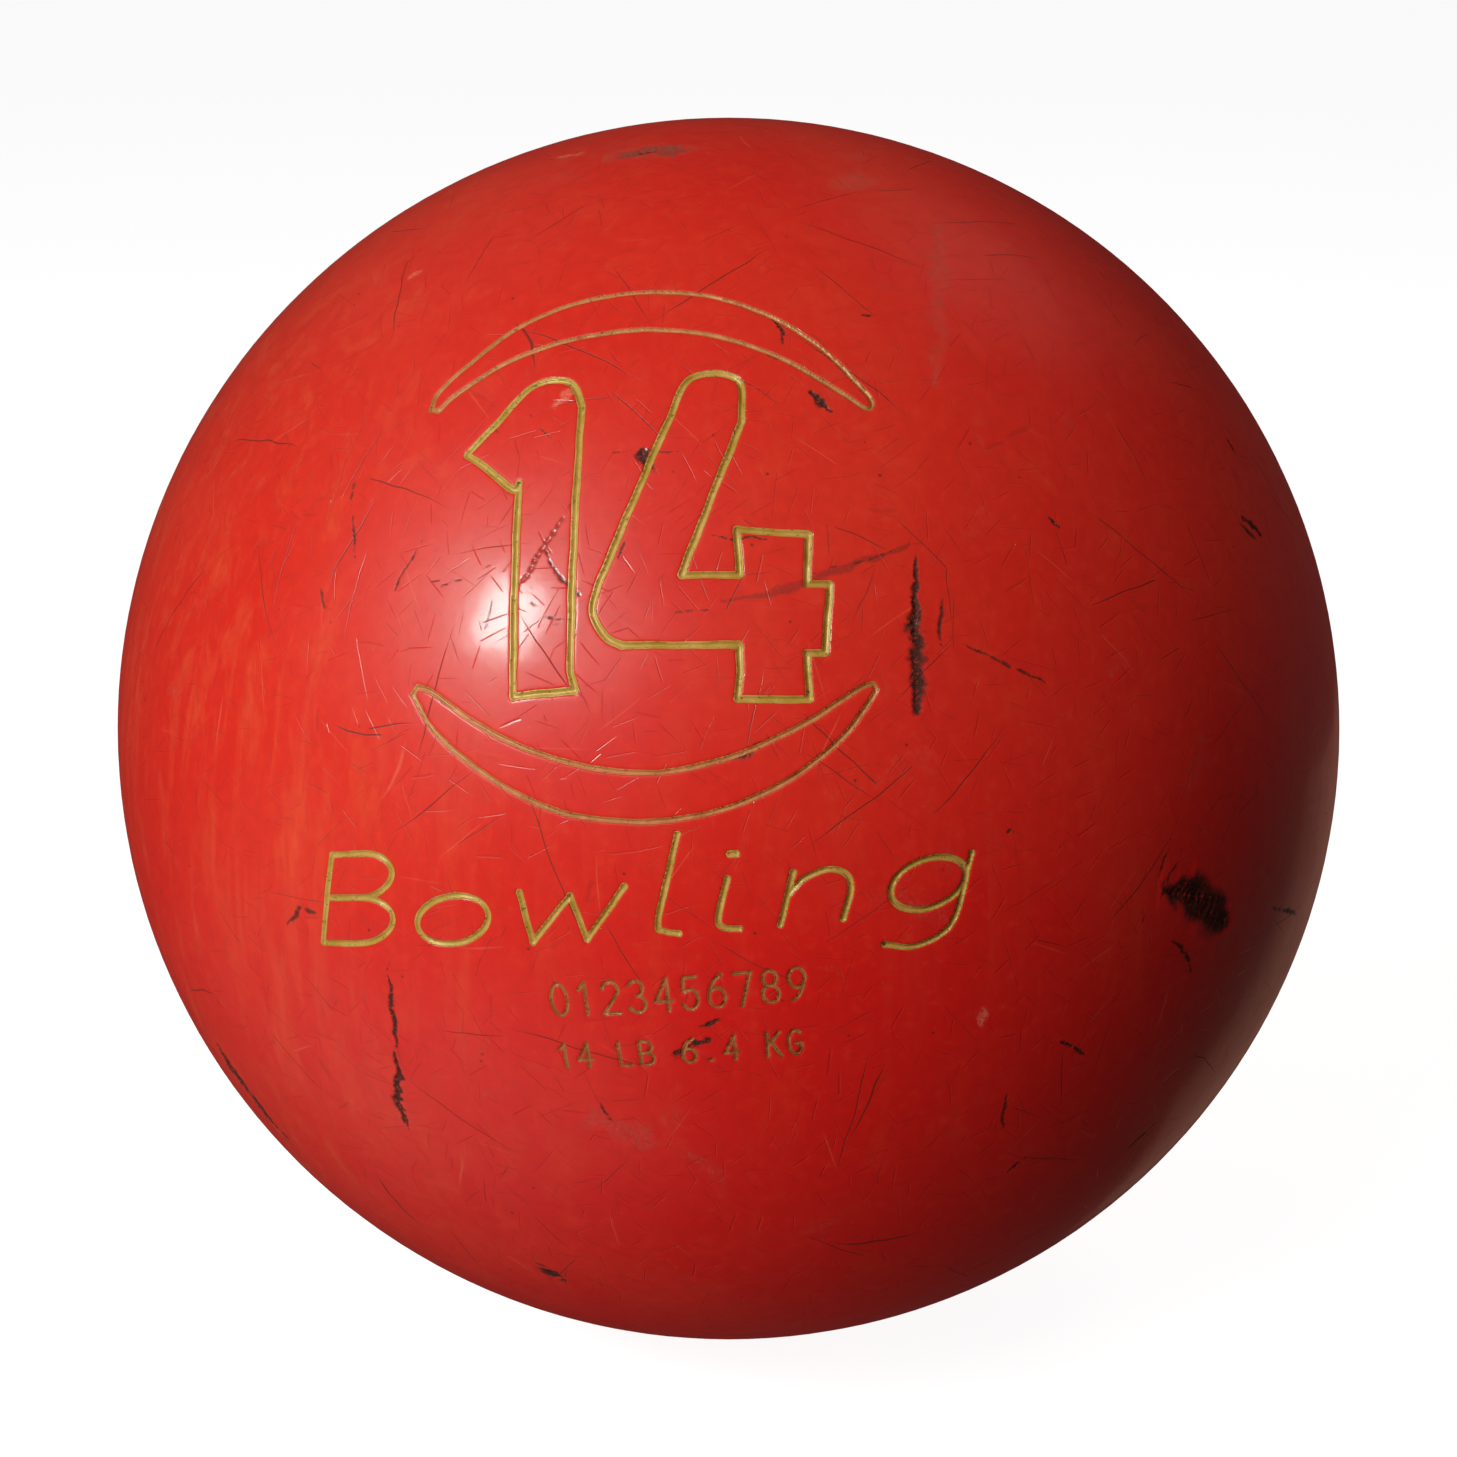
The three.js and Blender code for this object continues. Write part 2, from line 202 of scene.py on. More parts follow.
SIX = [ring(0.3, 0.3, 0.3, 0.3), [(0, 0.3), (0.08, 0.62), (0.28, 0.88), (0.5, 1)]]
CHARACTERS = {
    "0": [ring(0.3, 0.5, 0.3, 0.5)],
    "1": edges([(0.1, 0.78), (0.34, 1), (0.34, 0)]),
    "2": [[*arc(0.3, 0.72, 0.29, 0.28, 165, -20), (0, 0)], [(0, 0), (0.6, 0)]],
    "3": [arc(0.28, 0.76, 0.26, 0.24, 150, -90), arc(0.28, 0.26, 0.31, 0.26, 90, -150)],
    "4": edges([(0.45, 0), (0.45, 1), (0, 0.3), (0.6, 0.3)]),
    "5": [[(0.55, 1), (0.1, 1), (0.05, 0.55), *arc(0.28, 0.31, 0.3, 0.31, 90, -150)]],
    "6": SIX,
    "7": [[(0, 1), (0.6, 1), (0.22, 0)]],
    "8": [ring(0.3, 0.76, 0.25, 0.24), ring(0.3, 0.27, 0.3, 0.27)],
    "9": [[(0.6 - x, 1 - y) for x, y in stroke] for stroke in SIX],
    ".": [[(0.26, 0.05), (0.34, 0.05)]],
    "L": [[(0, 1), (0, 0), (0.52, 0)]],
    "B": [
        [(0, 0), (0, 1), *arc(0.28, 0.76, 0.26, 0.24, 90, -90), (0, 0.52)],
        [(0, 0.52), *arc(0.3, 0.26, 0.3, 0.26, 90, -90), (0, 0)],
    ],
    "K": [[(0, 0), (0, 1)], [(0.55, 1), (0, 0.4)], [(0.2, 0.6), (0.58, 0)]],
    "G": [[*arc(0.32, 0.5, 0.32, 0.5, 50, 330), (0.6, 0.45), (0.34, 0.45)]],
    "o": [ring(0.27, 0.26, 0.27, 0.26)],
    "w": edges([(0, 0.52), (0.16, 0), (0.36, 0.46), (0.54, 0), (0.72, 0.52)]),
    "l": [smooth([(0, 1), (0, 0.16), (0.05, 0.04), (0.16, 0)], 4)],
    "i": [smooth([(0, 0.52), (0, 0.14), (0.05, 0.03), (0.16, 0)], 4)],
    "dot": [[(-0.02, 0.76), (0.02, 0.76)]],
    "n": [
        [(0, 0.52), (0, 0)],
        smooth([(0, 0.3), (0.08, 0.44), (0.22, 0.52), (0.36, 0.46), (0.42, 0.3), (0.42, 0)], 4),
    ],
    "g": [
        ring(0.26, 0.26, 0.26, 0.26),
        smooth([(0.52, 0.52), (0.52, -0.12), (0.44, -0.3), (0.26, -0.38), (0.06, -0.32)], 4),
    ],
}
WORD = {"start": (-70, -37), "height": 15.5, "stretch": 1.5, "lean": 0.32}
WORD_LETTERS = {"B": 0, "o": 1.2, "w": 2.3, "l": 3.8, "i": 4.4, "dot": 4.4, "n": 5.05, "g": 6.1}
SERIAL_TEXT = "0123456789"
SERIAL = {"start": (-28, -46), "height": 5.4, "stretch": 0.8, "lean": 0}
SERIAL_PITCH = 4.2
WEIGHT_TEXT = "14 LB 6.4 KG"
WEIGHT = {"start": (-27.5, -55.4), "height": 4.2, "stretch": 0.85, "lean": 0}
WEIGHT_PITCH = 3.4


def character(key, along, style):
    """One character on a sloping line of the label, as strokes of (u, v) points."""
    slope = math.radians(LINE_SLOPE)
    start_u, start_v = style["start"]
    height = style["height"]
    placed = []
    for stroke in CHARACTERS[key]:
        points = []
        for x, y in stroke:
            across = along + height * (style["stretch"] * x + style["lean"] * y)
            up = height * y
            points.append((start_u + across * math.cos(slope) - up * math.sin(slope),
                           start_v + across * math.sin(slope) + up * math.cos(slope)))
        placed.append(points)
    return placed


def label_marks():
    """Every mark as (node, strokes, line)."""
    marks = [
        ("numeral_1_paint", [NUMERAL_1], NUMERAL_LINE),
        ("numeral_4_paint", [NUMERAL_4], NUMERAL_LINE),
        ("upper_crescent_paint", [UPPER_CRESCENT], CRESCENT_LINE),
        ("lower_crescent_paint", [LOWER_CRESCENT], CRESCENT_LINE),
    ]
    for key, place in WORD_LETTERS.items():
        strokes = character(key, place * WORD["height"], WORD)
        marks.append((f"word_{key.lower()}_paint", strokes, WORD_LINE))
    lines = (("serial_line", SERIAL_TEXT, SERIAL, SERIAL_PITCH),
             ("weight_line", WEIGHT_TEXT, WEIGHT, WEIGHT_PITCH))
    for line_name, text, style, pitch in lines:
        for place, key in enumerate(text):
            if key != " ":
                strokes = character(key, place * pitch, style)
                marks.append((f"{line_name}_mark_{place + 1}_paint", strokes, SMALL_LINE))
    return marks


def resampled(points, step):
    """A run of (u, v) points at an even step, with the distance along it and its corners."""
    points = np.asarray(points, float)
    lengths = np.r_[0, np.cumsum(np.linalg.norm(np.diff(points, axis=0), axis=1))]
    count = max(2, math.ceil(lengths[-1] / step) + 1)
    along = np.linspace(0, lengths[-1], count)
    run = np.c_[np.interp(along, lengths, points[:, 0]), np.interp(along, lengths, points[:, 1])]
    chords = unit(np.diff(points, axis=0))
    turns = np.degrees(np.arccos(np.clip((chords[1:] * chords[:-1]).sum(1), -1, 1)))
    corners = np.r_[0, lengths[1:-1][turns > 30], lengths[-1]]
    return run, along, corners


def engraved(points, line, number):
    """The engraving bit's path, a little unsteady, and its half width at each place. It dwells at
    corners and ends, and bites wider there."""
    run, along, corners = resampled(points, STROKE_STEP)
    tangents = unit(np.gradient(run, axis=0))
    sideways = np.c_[-tangents[:, 1], tangents[:, 0]]
    from_end = np.minimum(along, along[-1] - along)
    shake = np.sin(along / 1.9 + 2.1 * number) + 0.6 * np.sin(along / 0.83 + 5.3 * number)
    shake *= 0.035 * line["width"] * np.clip(from_end / 3, 0, 1)
    run = run + sideways * shake[:, None]
    half = line["width"] / 2 * (1 + 0.05 * np.sin(along / 2.7 + number))
    for corner in corners:
        half *= 1 + 0.13 * np.exp(-((along - corner) / (0.35 * line["width"])) ** 2)
    return run, half


class Engraving:
    """All strokes as points on the ball, to say how far a place is from the nearest groove."""

    def __init__(self, marks):
        places, halves, marks_of, next_of, previous_of = [], [], [], [], []
        first = 0
        number = 0
        for mark, (_, strokes, line) in enumerate(marks):
            for stroke in strokes:
                run, half = engraved(stroke, line, number)
                count = len(run)
                indices = np.arange(first, first + count)
                places.append(on_label(run) * BALL_RADIUS)
                halves.append(half)
                marks_of.append(np.full(count, mark))
                next_of.append(np.minimum(indices + 1, first + count - 1))
                previous_of.append(np.maximum(indices - 1, first))
                first += count
                number += 1
        self.places = np.vstack(places)
        self.halves = np.concatenate(halves)
        self.marks_of = np.concatenate(marks_of)
        self.neighbours = np.concatenate(next_of), np.concatenate(previous_of)
        self.depths = np.array([line["depth"] for _, _, line in marks])
        self.grains = np.array([line["grain"] for _, _, line in marks])
        self.tree = kdtree.KDTree(first)
        for index, place in enumerate(self.places):
            self.tree.insert(place, index)
        self.tree.balance()

    def nearest(self, directions):
        """At directions from the centre: the distance past the lip, negative in a groove, the mark,
        the groove's half width, and the direction away from the stroke."""
        here = directions * BALL_RADIUS
        find = self.tree.find
        index = np.array([find(place)[1] for place in here], int)
        best = np.full(len(here), 1e9)
        away = np.zeros_like(here)
        half = self.halves[index].copy()
        for neighbour in self.neighbours:
            other = neighbour[index]
            a, b = self.places[index], self.places[other]
            chord = b - a
            length_squared = np.maximum((chord ** 2).sum(1), 1e-12)
            share = np.clip(((here - a) * chord).sum(1) / length_squared, 0, 1)
            gap = here - (a + chord * share[:, None])
            distance = np.linalg.norm(gap, axis=1)
            nearer = distance < best
            best[nearer] = distance[nearer]
            away[nearer] = gap[nearer]
            width = self.halves[index] * (1 - share) + self.halves[other] * share
            half[nearer] = width[nearer]
        away /= np.maximum(best, 1e-9)[:, None]
        return best - half, self.marks_of[index], half, away


# ---- Wear ----

# Each mark of wear: its kind, its path of (u, v) places, its width and its depth.
GOUGE, CUT, SLASH, RUB, GREY, ROSY = "gouge", "cut", "slash", "rub", "grey", "rosy"
WEAR = [
    (GOUGE, [(79.6, -28), (86, -31.6), (92.6, -36)], 6.6, 0.7),
    (GOUGE, [(76.6, -28.4), (79.5, -29.4)], 3.2, 0.3),
    (GOUGE, [(29, 26.6), (28.9, 20), (28.6, 14)], 1.0, 0.3),
    (GOUGE, [(28.7, 20), (28.4, 11), (28.8, 2.8)], 2.6, 0.45),
    (CUT, [(32.9, 20.7), (32.6, 13.2)], 0.6, 0.15),
    (GOUGE, [(-56.9, -40.3), (-57.1, -50.9), (-57.8, -56)], 0.8, 0.3),
    (GOUGE, [(-57.8, -56), (-57.9, -60.3), (-59.1, -66), (-58.4, -73)], 1.3, 0.45),
    (GOUGE, [(-113.6, -70.1), (-107, -81), (-98.5, -91.8)], 3.2, 0.6),
    (GREY, [(-21, 118.6), (-16, 119.6), (-11, 118.6)], 4.2, 0.15),
    (RUB, [(-24, 118), (-9, 119.5)], 6.5, 0.05),
    (CUT, [(-20.5, 118.2), (-14.5, 119.4)], 0.9, 0.2),
    (ROSY, [(-36.5, 123.2), (-33, 123)], 2.4, 0.08),
    (ROSY, [(-61.5, 87.4), (-60, 88)], 1.8, 0.08),
    (ROSY, [(-28.6, 52.6), (-26, 54.2), (-24.6, 54.8)], 1.8, 0.04),
    (RUB, [(22, 106), (27.5, 108.2)], 5, 0.06),
    (RUB, [(40.5, 97), (38, 84), (36.5, 72), (34, 57.2)], 3.2, 0.03),
    (GOUGE, [(-14, 43.5), (-12.3, 41.8)], 2, 0.35),
    (CUT, [(-20.5, 44), (-12, 43.7), (-4.5, 43.5)], 0.35, 0.08),
    (GOUGE, [(7.6, 68.8), (9.2, 65.2)], 1, 0.3),
    (CUT, [(8.6, 67), (9.1, 62.8)], 0.6, 0.12),
    (CUT, [(-1.6, 64.4), (2.8, 63.2)], 0.7, 0.12),
    (CUT, [(4.5, 62.2), (9.6, 59.6)], 0.6, 0.12),
    (GOUGE, [(13.4, 54), (16.4, 51)], 1.2, 0.3),
    (GOUGE, [(22.6, 70.3), (24.2, 70)], 1.1, 0.2),
    (GOUGE, [(52.6, 34.6), (54.6, 33)], 1.0, 0.25),
    (GOUGE, [(99, 41.4), (105.6, 38.8)], 1.1, 0.25),
    (CUT, [(98.5, 39.2), (104, 36.7)], 0.8, 0.15),
    (GOUGE, [(101.6, 58.6), (103.2, 56.4)], 1.1, 0.2),
    (GOUGE, [(-36.8, -108.2), (-35, -110.8)], 2.8, 0.35),
    (GOUGE, [(-45.5, -111.6), (-45.1, -112.2)], 1.3, 0.25),
    (GOUGE, [(-8.6, -51.6), (-3.4, -49.4)], 1.4, 0.2),
    (GOUGE, [(-4.3, -46.9), (-1.3, -46)], 1, 0.2),
    (RUB, [(-21.5, -65.6), (-14.6, -68.6)], 4.4, 0.05),
    (CUT, [(-21.2, -61.5), (-18.6, -67)], 0.6, 0.12),
    (GOUGE, [(57.7, -54), (62.9, -57.7)], 0.9, 0.2),
    (CUT, [(48, -63), (48.4, -71.6)], 0.7, 0.12),
    (GOUGE, [(55.1, -78.6), (52, -81.9)], 0.8, 0.15),
    (CUT, [(87.4, -80.8), (81.5, -86.7)], 0.7, 0.12),
    (GOUGE, [(78.6, -37.7), (83, -40.4), (85.4, -45)], 0.8, 0.2),
    (CUT, [(109.2, -36.1), (123.7, -40.2)], 0.8, 0.15),
    (CUT, [(76, -19), (71, -34)], 0.5, 0.08),
    (CUT, [(79, -21), (74, -31)], 0.45, 0.08),
    (CUT, [(-77.8, -34.7), (-74, -31.4), (-70.5, -31.7)], 0.8, 0.15),
    (CUT, [(36, 13.7), (44, 9.6), (51, 7.4)], 0.6, 0.12),
    (SLASH, [(-1, 19.4), (6, 20.4), (12, 22.6), (21, 26), (29.8, 28.6)], 1.3, 0.02),
    (CUT, [(12, 23), (20, 25.8), (29, 28.8)], 0.35, 0.06),
    (CUT, [(-8, 17.6), (-3, 17.9)], 0.45, 0.06),
    (CUT, [(-3, 29.3), (6, 29.2)], 0.4, 0.06),
    (SLASH, [(-24.7, 34.8), (-28, 29.4), (-31.4, 24), (-33, 21.8)], 1.1, 0.2),
    (CUT, [(-29, 28), (-27.5, 25.4), (-25.5, 22.5), (-21.5, 19)], 0.75, 0.15),
    (CUT, [(-48, 23.7), (-42.2, 23.3), (-39.5, 25), (-35.8, 26.9)], 0.32, 0.07),
    (CUT, [(-46.2, 22), (-43, 23.2)], 0.4, 0.06),
    (CUT, [(-30.4, 19.6), (-28.8, 18.6)], 0.5, 0.1),
    (CUT, [(-30, 17.5), (-24.6, 16.7)], 0.35, 0.08),
    (SLASH, [(-27.2, 16), (-24.8, 15.7)], 0.5, 0.1),
    (CUT, [(-33.6, 53), (-28, 45.4)], 0.3, 0.05),
    (CUT, [(-36.6, 20.8), (-38.8, 14.4)], 0.3, 0.05),
    (CUT, [(-39, 50), (-37, 48.2)], 0.5, 0.08),
    (CUT, [(-17.6, 25.4), (-16, 28.6)], 0.6, 0.08),
    (CUT, [(-64.3, 44.4), (-63.6, 36), (-62.3, 28)], 0.5, 0.08),
    (CUT, [(-69.5, 24.5), (-66.2, 17.5)], 0.5, 0.08),
    (CUT, [(-54.5, 21.6), (-49.5, 30.4)], 0.4, 0.06),
    (ROSY, [(41, -47.7), (41.6, -47.1)], 2.2, 0.05),
    (GOUGE, [(-2, -5), (3, -3.4), (6.5, -1.4)], 1.1, 0.15),
    (GOUGE, [(44, -16.6), (44.6, -16.2)], 0.9, 0.2),
]
WEAR_KINDS = {
    # kind: raggedness, mesh size against width, dirt, rub, rosy
    GOUGE: (0.42, 0.28, 1, 0, 0),
    CUT: (0.3, 0.42, 0.9, 0, 0),
    SLASH: (0.15, 0.3, 0.42, 0, 0),
    RUB: (0.5, 0.3, 0, 0.36, 0),
    GREY: (0.45, 0.25, 0.35, 1, 0),
    ROSY: (0.4, 0.3, 0, 0, 1),
}
# The coarsest side on wear, and how far from its path sides stay fine, in widths
COARSEST_WEAR = 0.7
FINE_WIDTHS = 0.6


def ripple(points, wavelength, seed):
    """Smooth noise from -1 to 1 over points in millimetres, the sum of a few plane waves."""
    draw = np.random.default_rng(seed)
    waves = 7
    turns = unit(draw.normal(size=(waves, 3)))
    lengths = wavelength * draw.uniform(0.6, 1.5, waves)
    phases = draw.uniform(0, 2 * math.pi, waves)
    total = sum(np.sin(points @ turns[i] * 2 * math.pi / lengths[i] + phases[i])
                for i in range(waves))
    return np.clip(total / math.sqrt(waves / 2) / 1.6, -1, 1)


def distance_to_path(here, path):
    """How far places are from a path of straight stretches."""
    best = np.full(len(here), 1e9)
    for a, b in zip(path, path[1:]):
        chord = b - a
        share = np.clip(((here - a) @ chord) / (chord @ chord), 0, 1)
        best = np.minimum(best, np.linalg.norm(here - (a + share[:, None] * chord), axis=1))
    return best


def near_path(directions, path, reach):
    """A mask of the places that may be within reach of a path."""
    middle = path.mean(0)
    spread = np.linalg.norm(path - middle, axis=1).max()
    here = directions * BALL_RADIUS
    return np.linalg.norm(here - middle, axis=1) < spread + reach


WEAR_PATHS = [on_label(path) * BALL_RADIUS for _, path, _, _ in WEAR]


def wear_limit(directions):
    """The longest edge that the mesh may have at each place, for the wear's sake."""
    limit = np.full(len(directions), COARSEST)
    for (kind, _, width, _), path in zip(WEAR, WEAR_PATHS):
        grain = np.clip(WEAR_KINDS[kind][1] * width, FINEST, COARSEST_WEAR)
        near = near_path(directions, path, width + (COARSEST - grain) / GRADING)
        distance = distance_to_path(directions[near] * BALL_RADIUS, path) - FINE_WIDTHS * width
        graded = grain + GRADING * np.maximum(distance, 0)
        limit[near] = np.minimum(limit[near], graded)
    return limit


def wear_at(directions):
    """The wear's height and its dirt, rub and rosy shares at each place."""
    height = np.zeros(len(directions))
    shares = np.zeros((3, len(directions)))
    for number, ((kind, _, width, depth), path) in enumerate(zip(WEAR, WEAR_PATHS)):
        near = near_path(directions, path, 2 * width + 1)
        here = directions[near] * BALL_RADIUS
        if not len(here):
            continue
        ragged, _, *amounts = WEAR_KINDS[kind]
        ragged *= min(1, 3 / width)
        # A path wanders a little, and tapers towards its ends between ragged sides.
        here = here + 0.3 * np.stack([ripple(here, 5, number + 300 + axis) for axis in range(3)], 1)
        to_end = np.linalg.norm(here[:, None] - path[[0, -1]], axis=2).min(1)
        ease = max(2, 0.3 * np.linalg.norm(path[-1] - path[0]))
        taper = 0.3 + 0.7 * np.clip((to_end + 0.3 * width) / (0.3 * width + ease), 0, 1)
        torn = ripple(here, 0.9 * width + 0.8, number)
        torn += 0.6 * ripple(here, 0.35 * width + 0.3, number + 99)
        half = width / 2 * taper * (1 + ragged * torn)
        inside = 1 - distance_to_path(here, path) / np.maximum(half, 0.05)
        depth_share = np.clip(inside, 0, 1) ** 0.7
        # The floor of a mark is folded across its length, and a gouge pushed up a burr.
        along = (here - path[0]) @ unit(path[-1] - path[0])
        folds = np.sin(5.2 * along + 2 * ripple(here, 4, number + 199))
        ridges = 0.6 + 0.35 * folds + 0.2 * ripple(here, 0.5 * width + 0.3, number + 399)
        burr = 0.12 * np.exp(-((inside + 0.25) / 0.25) ** 2) if kind == GOUGE else 0
        height[near] -= depth * (depth_share * ridges - burr)
        for share, amount in zip(shares, amounts):
            spread = np.clip(inside * 2.5 + 0.45, 0, 1)
            share[near] = np.maximum(share[near], amount * spread)
    return height, shares


# ---- Meshing the ball's skin ----

def icosahedron():
    """The corners, as directions, and the triangles of an icosahedron."""
    golden = (1 + math.sqrt(5)) / 2
    corners = [(a, b * golden, 0) for a in (-1, 1) for b in (-1, 1)]
    corners += [(0, a, b * golden) for a in (-1, 1) for b in (-1, 1)]
    corners += [(b * golden, 0, a) for a in (-1, 1) for b in (-1, 1)]
    corners = unit(np.array(corners, float))
    gaps = np.linalg.norm(corners[:, None] - corners[None], axis=2)
    side = gaps[gaps > 1e-6].min() * 1.01
    triangles = []
    for a in range(12):
        for b in range(a + 1, 12):
            for c in range(b + 1, 12):
                if max(gaps[a, b], gaps[b, c], gaps[a, c]) < side:
                    facing = np.linalg.det(corners[[a, b, c]])
                    triangles.append((a, b, c) if facing > 0 else (a, c, b))
    return corners, np.array(triangles)


def sides_of(triangles):
    """The unique sides, and for each triangle the numbers of its three."""
    pairs = np.sort(np.stack([triangles, np.roll(triangles, -1, axis=1)], axis=2), axis=2)
    sides, of_triangle = np.unique(pairs.reshape(-1, 2), axis=0, return_inverse=True)
    return sides, of_triangle.reshape(-1, 3)


def turned_to(triangles, middles, first):
    """The same triangles, each starting at the given corner."""
    order = (first[:, None] + np.arange(3)) % 3
    rows = np.arange(len(triangles))[:, None]
    return triangles[rows, order].T, middles[rows, order].T


def split(triangles, middles):
    """Cuts each triangle at the middles of its sides, which hold -1 where a side isn't cut."""
    count = (middles >= 0).sum(1)
    made = [triangles[count == 0]]
    one = count == 1
    (a, b, c), (m, _, _) = turned_to(triangles[one], middles[one], (middles[one] >= 0).argmax(1))
    made += [np.c_[a, m, c], np.c_[m, b, c]]
    two = count == 2
    first = ((middles[two] < 0).argmax(1) + 1) % 3
    (a, b, c), (m, n, _) = turned_to(triangles[two], middles[two], first)
    made += [np.c_[m, b, n], np.c_[a, m, n], np.c_[a, n, c]]
    three = count == 3
    (a, b, c), (m, n, o) = turned_to(triangles[three], middles[three], np.zeros(three.sum(), int))
    made += [np.c_[a, m, o], np.c_[m, b, n], np.c_[o, n, c], np.c_[m, n, o]]
    return np.vstack(made)


def refined(points, triangles, limit):
    """Splits sides down to what limit says at their middles, but not below FINEST."""
    while True:
        sides, of_triangle = sides_of(triangles)
        ends = points[sides]
        lengths = np.linalg.norm(ends[:, 0] - ends[:, 1], axis=1) * BALL_RADIUS
        marked = np.zeros(len(sides), bool)
        long = np.flatnonzero(lengths > FINEST)
        marked[long] = lengths[long] > limit(unit(ends[long].sum(1)))
        if not marked.any():
            return points, triangles
        # A triangle that is cut at all is cut at its longest side too, so none becomes a sliver.
        longest = of_triangle[np.arange(len(triangles)), lengths[of_triangle].argmax(1)]
        while (missing := marked[of_triangle].any(1) & ~marked[longest]).any():
            marked[longest[missing]] = True
        middles = np.full(len(sides), -1)
        middles[marked] = len(points) + np.arange(marked.sum())
        points = np.vstack([points, unit(ends[marked].sum(1))])
        triangles = split(triangles, middles[of_triangle])


def along_the_lips(points, triangles, engraving):
    """Moves and adds points so that the mesh has sides along every groove's lip."""
    past_lip, mark, _, away = engraving.nearest(points)
    snap = 0.28 * engraving.grains[mark]
    close = np.abs(past_lip) < snap
    moved = points[close] * BALL_RADIUS - away[close] * past_lip[close, None]
    points = points.copy()
    points[close] = unit(moved)
    past_lip[close] = 0
    sides, of_triangle = sides_of(triangles)
    low, high = past_lip[sides].T
    crossing = np.flatnonzero(low * high < 0)
    a, b = points[sides[crossing, 0]], points[sides[crossing, 1]]
    # Halving finds where each side crosses a lip.
    share_low, share_high = np.zeros(len(crossing)), np.ones(len(crossing))
    starts_inside = low[crossing] < 0
    for _ in range(8):
        share = (share_low + share_high) / 2
        there = unit(a * (1 - share[:, None]) + b * share[:, None])
        inside = engraving.nearest(there)[0] < 0
        before = inside == starts_inside
        share_low = np.where(before, share, share_low)
        share_high = np.where(before, share_high, share)
    middles = np.full(len(sides), -1)
    middles[crossing] = len(points) + np.arange(len(crossing))
    points = np.vstack([points, there])
    past_lip = np.r_[past_lip, np.zeros(len(crossing))]
    return points, split(triangles, middles[of_triangle]), past_lip


def skin_mesh(engraving):
    """The ball's skin: directions, triangles, and each point's distance past the nearest lip."""

    def limit(directions):
        past_lip, mark, _, _ = engraving.nearest(directions)
        grain = engraving.grains[mark]
        graded = grain + GRADING * np.maximum(past_lip - REFINE_BAND, 0)
        return np.minimum(np.minimum(graded, wear_limit(directions)), COARSEST)

    points, triangles = refined(*icosahedron(), limit)
    return along_the_lips(points, triangles, engraving)


# ---- Blender objects ----

def add_object(name, mesh, material):
    made = bpy.data.objects.new(name, mesh)
    bpy.context.scene.collection.objects.link(made)
    made.data.materials.append(material)
    return made


def mesh_of(name, points, triangles):
    """A smooth mesh in metres from points in millimetres."""
    mesh = bpy.data.meshes.new(name)
    mesh.from_pydata((points * MM).tolist(), [], triangles.tolist())
    mesh.update()
    mesh.shade_smooth()
    return mesh


def set_attribute(mesh, name, values):
    mesh.attributes.new(name, "FLOAT", "POINT").data.foreach_set("value", values.astype(np.float32))


def lathe_mesh(name, profile, axis, origin, segments):
    """A closed solid turned round an axis, from (out, along) pairs that start and end on it."""
    across = unit(np.cross(axis, [1.0, 0.0, 0.0] if abs(axis[0]) < 0.9 else [0.0, 1.0, 0.0]))
    other = np.cross(axis, across)
    inner = profile[1:-1]
    angles = np.arange(segments) * 2 * math.pi / segments
    spokes = np.cos(angles)[:, None] * across + np.sin(angles)[:, None] * other
    rings = [origin + out * spokes + along * axis for out, along in inner]
    ends = [origin + profile[0][1] * axis, origin + profile[-1][1] * axis]
    points = np.vstack([*rings, *ends])
    bottom, top = len(points) - 2, len(points) - 1
    last = (len(inner) - 1) * segments
    faces = []
    for k in range(segments):
        after = (k + 1) % segments
        faces.append((bottom, after, k))
        faces.append((top, last + k, last + after))
        for level in range(len(inner) - 1):
            low, high = level * segments, (level + 1) * segments
            faces.append((low + k, low + after, high + after))
            faces.append((low + k, high + after, high + k))
    return mesh_of(name, points, np.array(faces))


def cut(target, cutter_meshes, operation="DIFFERENCE"):
    """Cuts each cutter out of the target's mesh, or keeps only what both hold."""
    for mesh in cutter_meshes:
        cutter = bpy.data.objects.new("cutter", mesh)
        bpy.context.scene.collection.objects.link(cutter)
        modifier = target.modifiers.new("cut", "BOOLEAN")
        modifier.operation = operation
        modifier.solver = "MANIFOLD"
        modifier.object = cutter
        evaluated = target.evaluated_get(bpy.context.evaluated_depsgraph_get())
        result = bpy.data.meshes.new_from_object(evaluated)
        target.modifiers.clear()
        target.data = result
        bpy.data.objects.remove(cutter)
    return target


# ---- Grip holes ----

def grip_hole(radius, depth, axis, offset):
    """The drill's cutter and the cutter that rounds the hole's edge."""
    reach = math.sqrt(BALL_RADIUS ** 2 - offset @ offset)
    mouth = offset + axis * reach
    drill = [(0, -depth), (radius, -depth), (radius, CUTTER_REACH), (0, CUTTER_REACH)]
    facing = unit(mouth)
    drop = radius ** 2 / (2 * BALL_RADIUS)
    angles = np.radians(np.linspace(0, RIM_SWEEP, 9))
    rounded = [(radius + 0.001 + RIM_ROUND * (1 - math.cos(a)),
                RIM_ROUND * math.sin(a) - RIM_ROUND - drop) for a in angles]
    last_out, last_along = rounded[-1]
    slope = 1 / math.tan(angles[-1])
    flare = [(0, rounded[0][1]), *rounded,
             (last_out + CUTTER_REACH, last_along + CUTTER_REACH * slope), (0, 1.5 * CUTTER_REACH)]
    return [lathe_mesh("drill", drill, axis, mouth, SEGMENTS),
            lathe_mesh("countersink", flare, facing, mouth, SEGMENTS)]


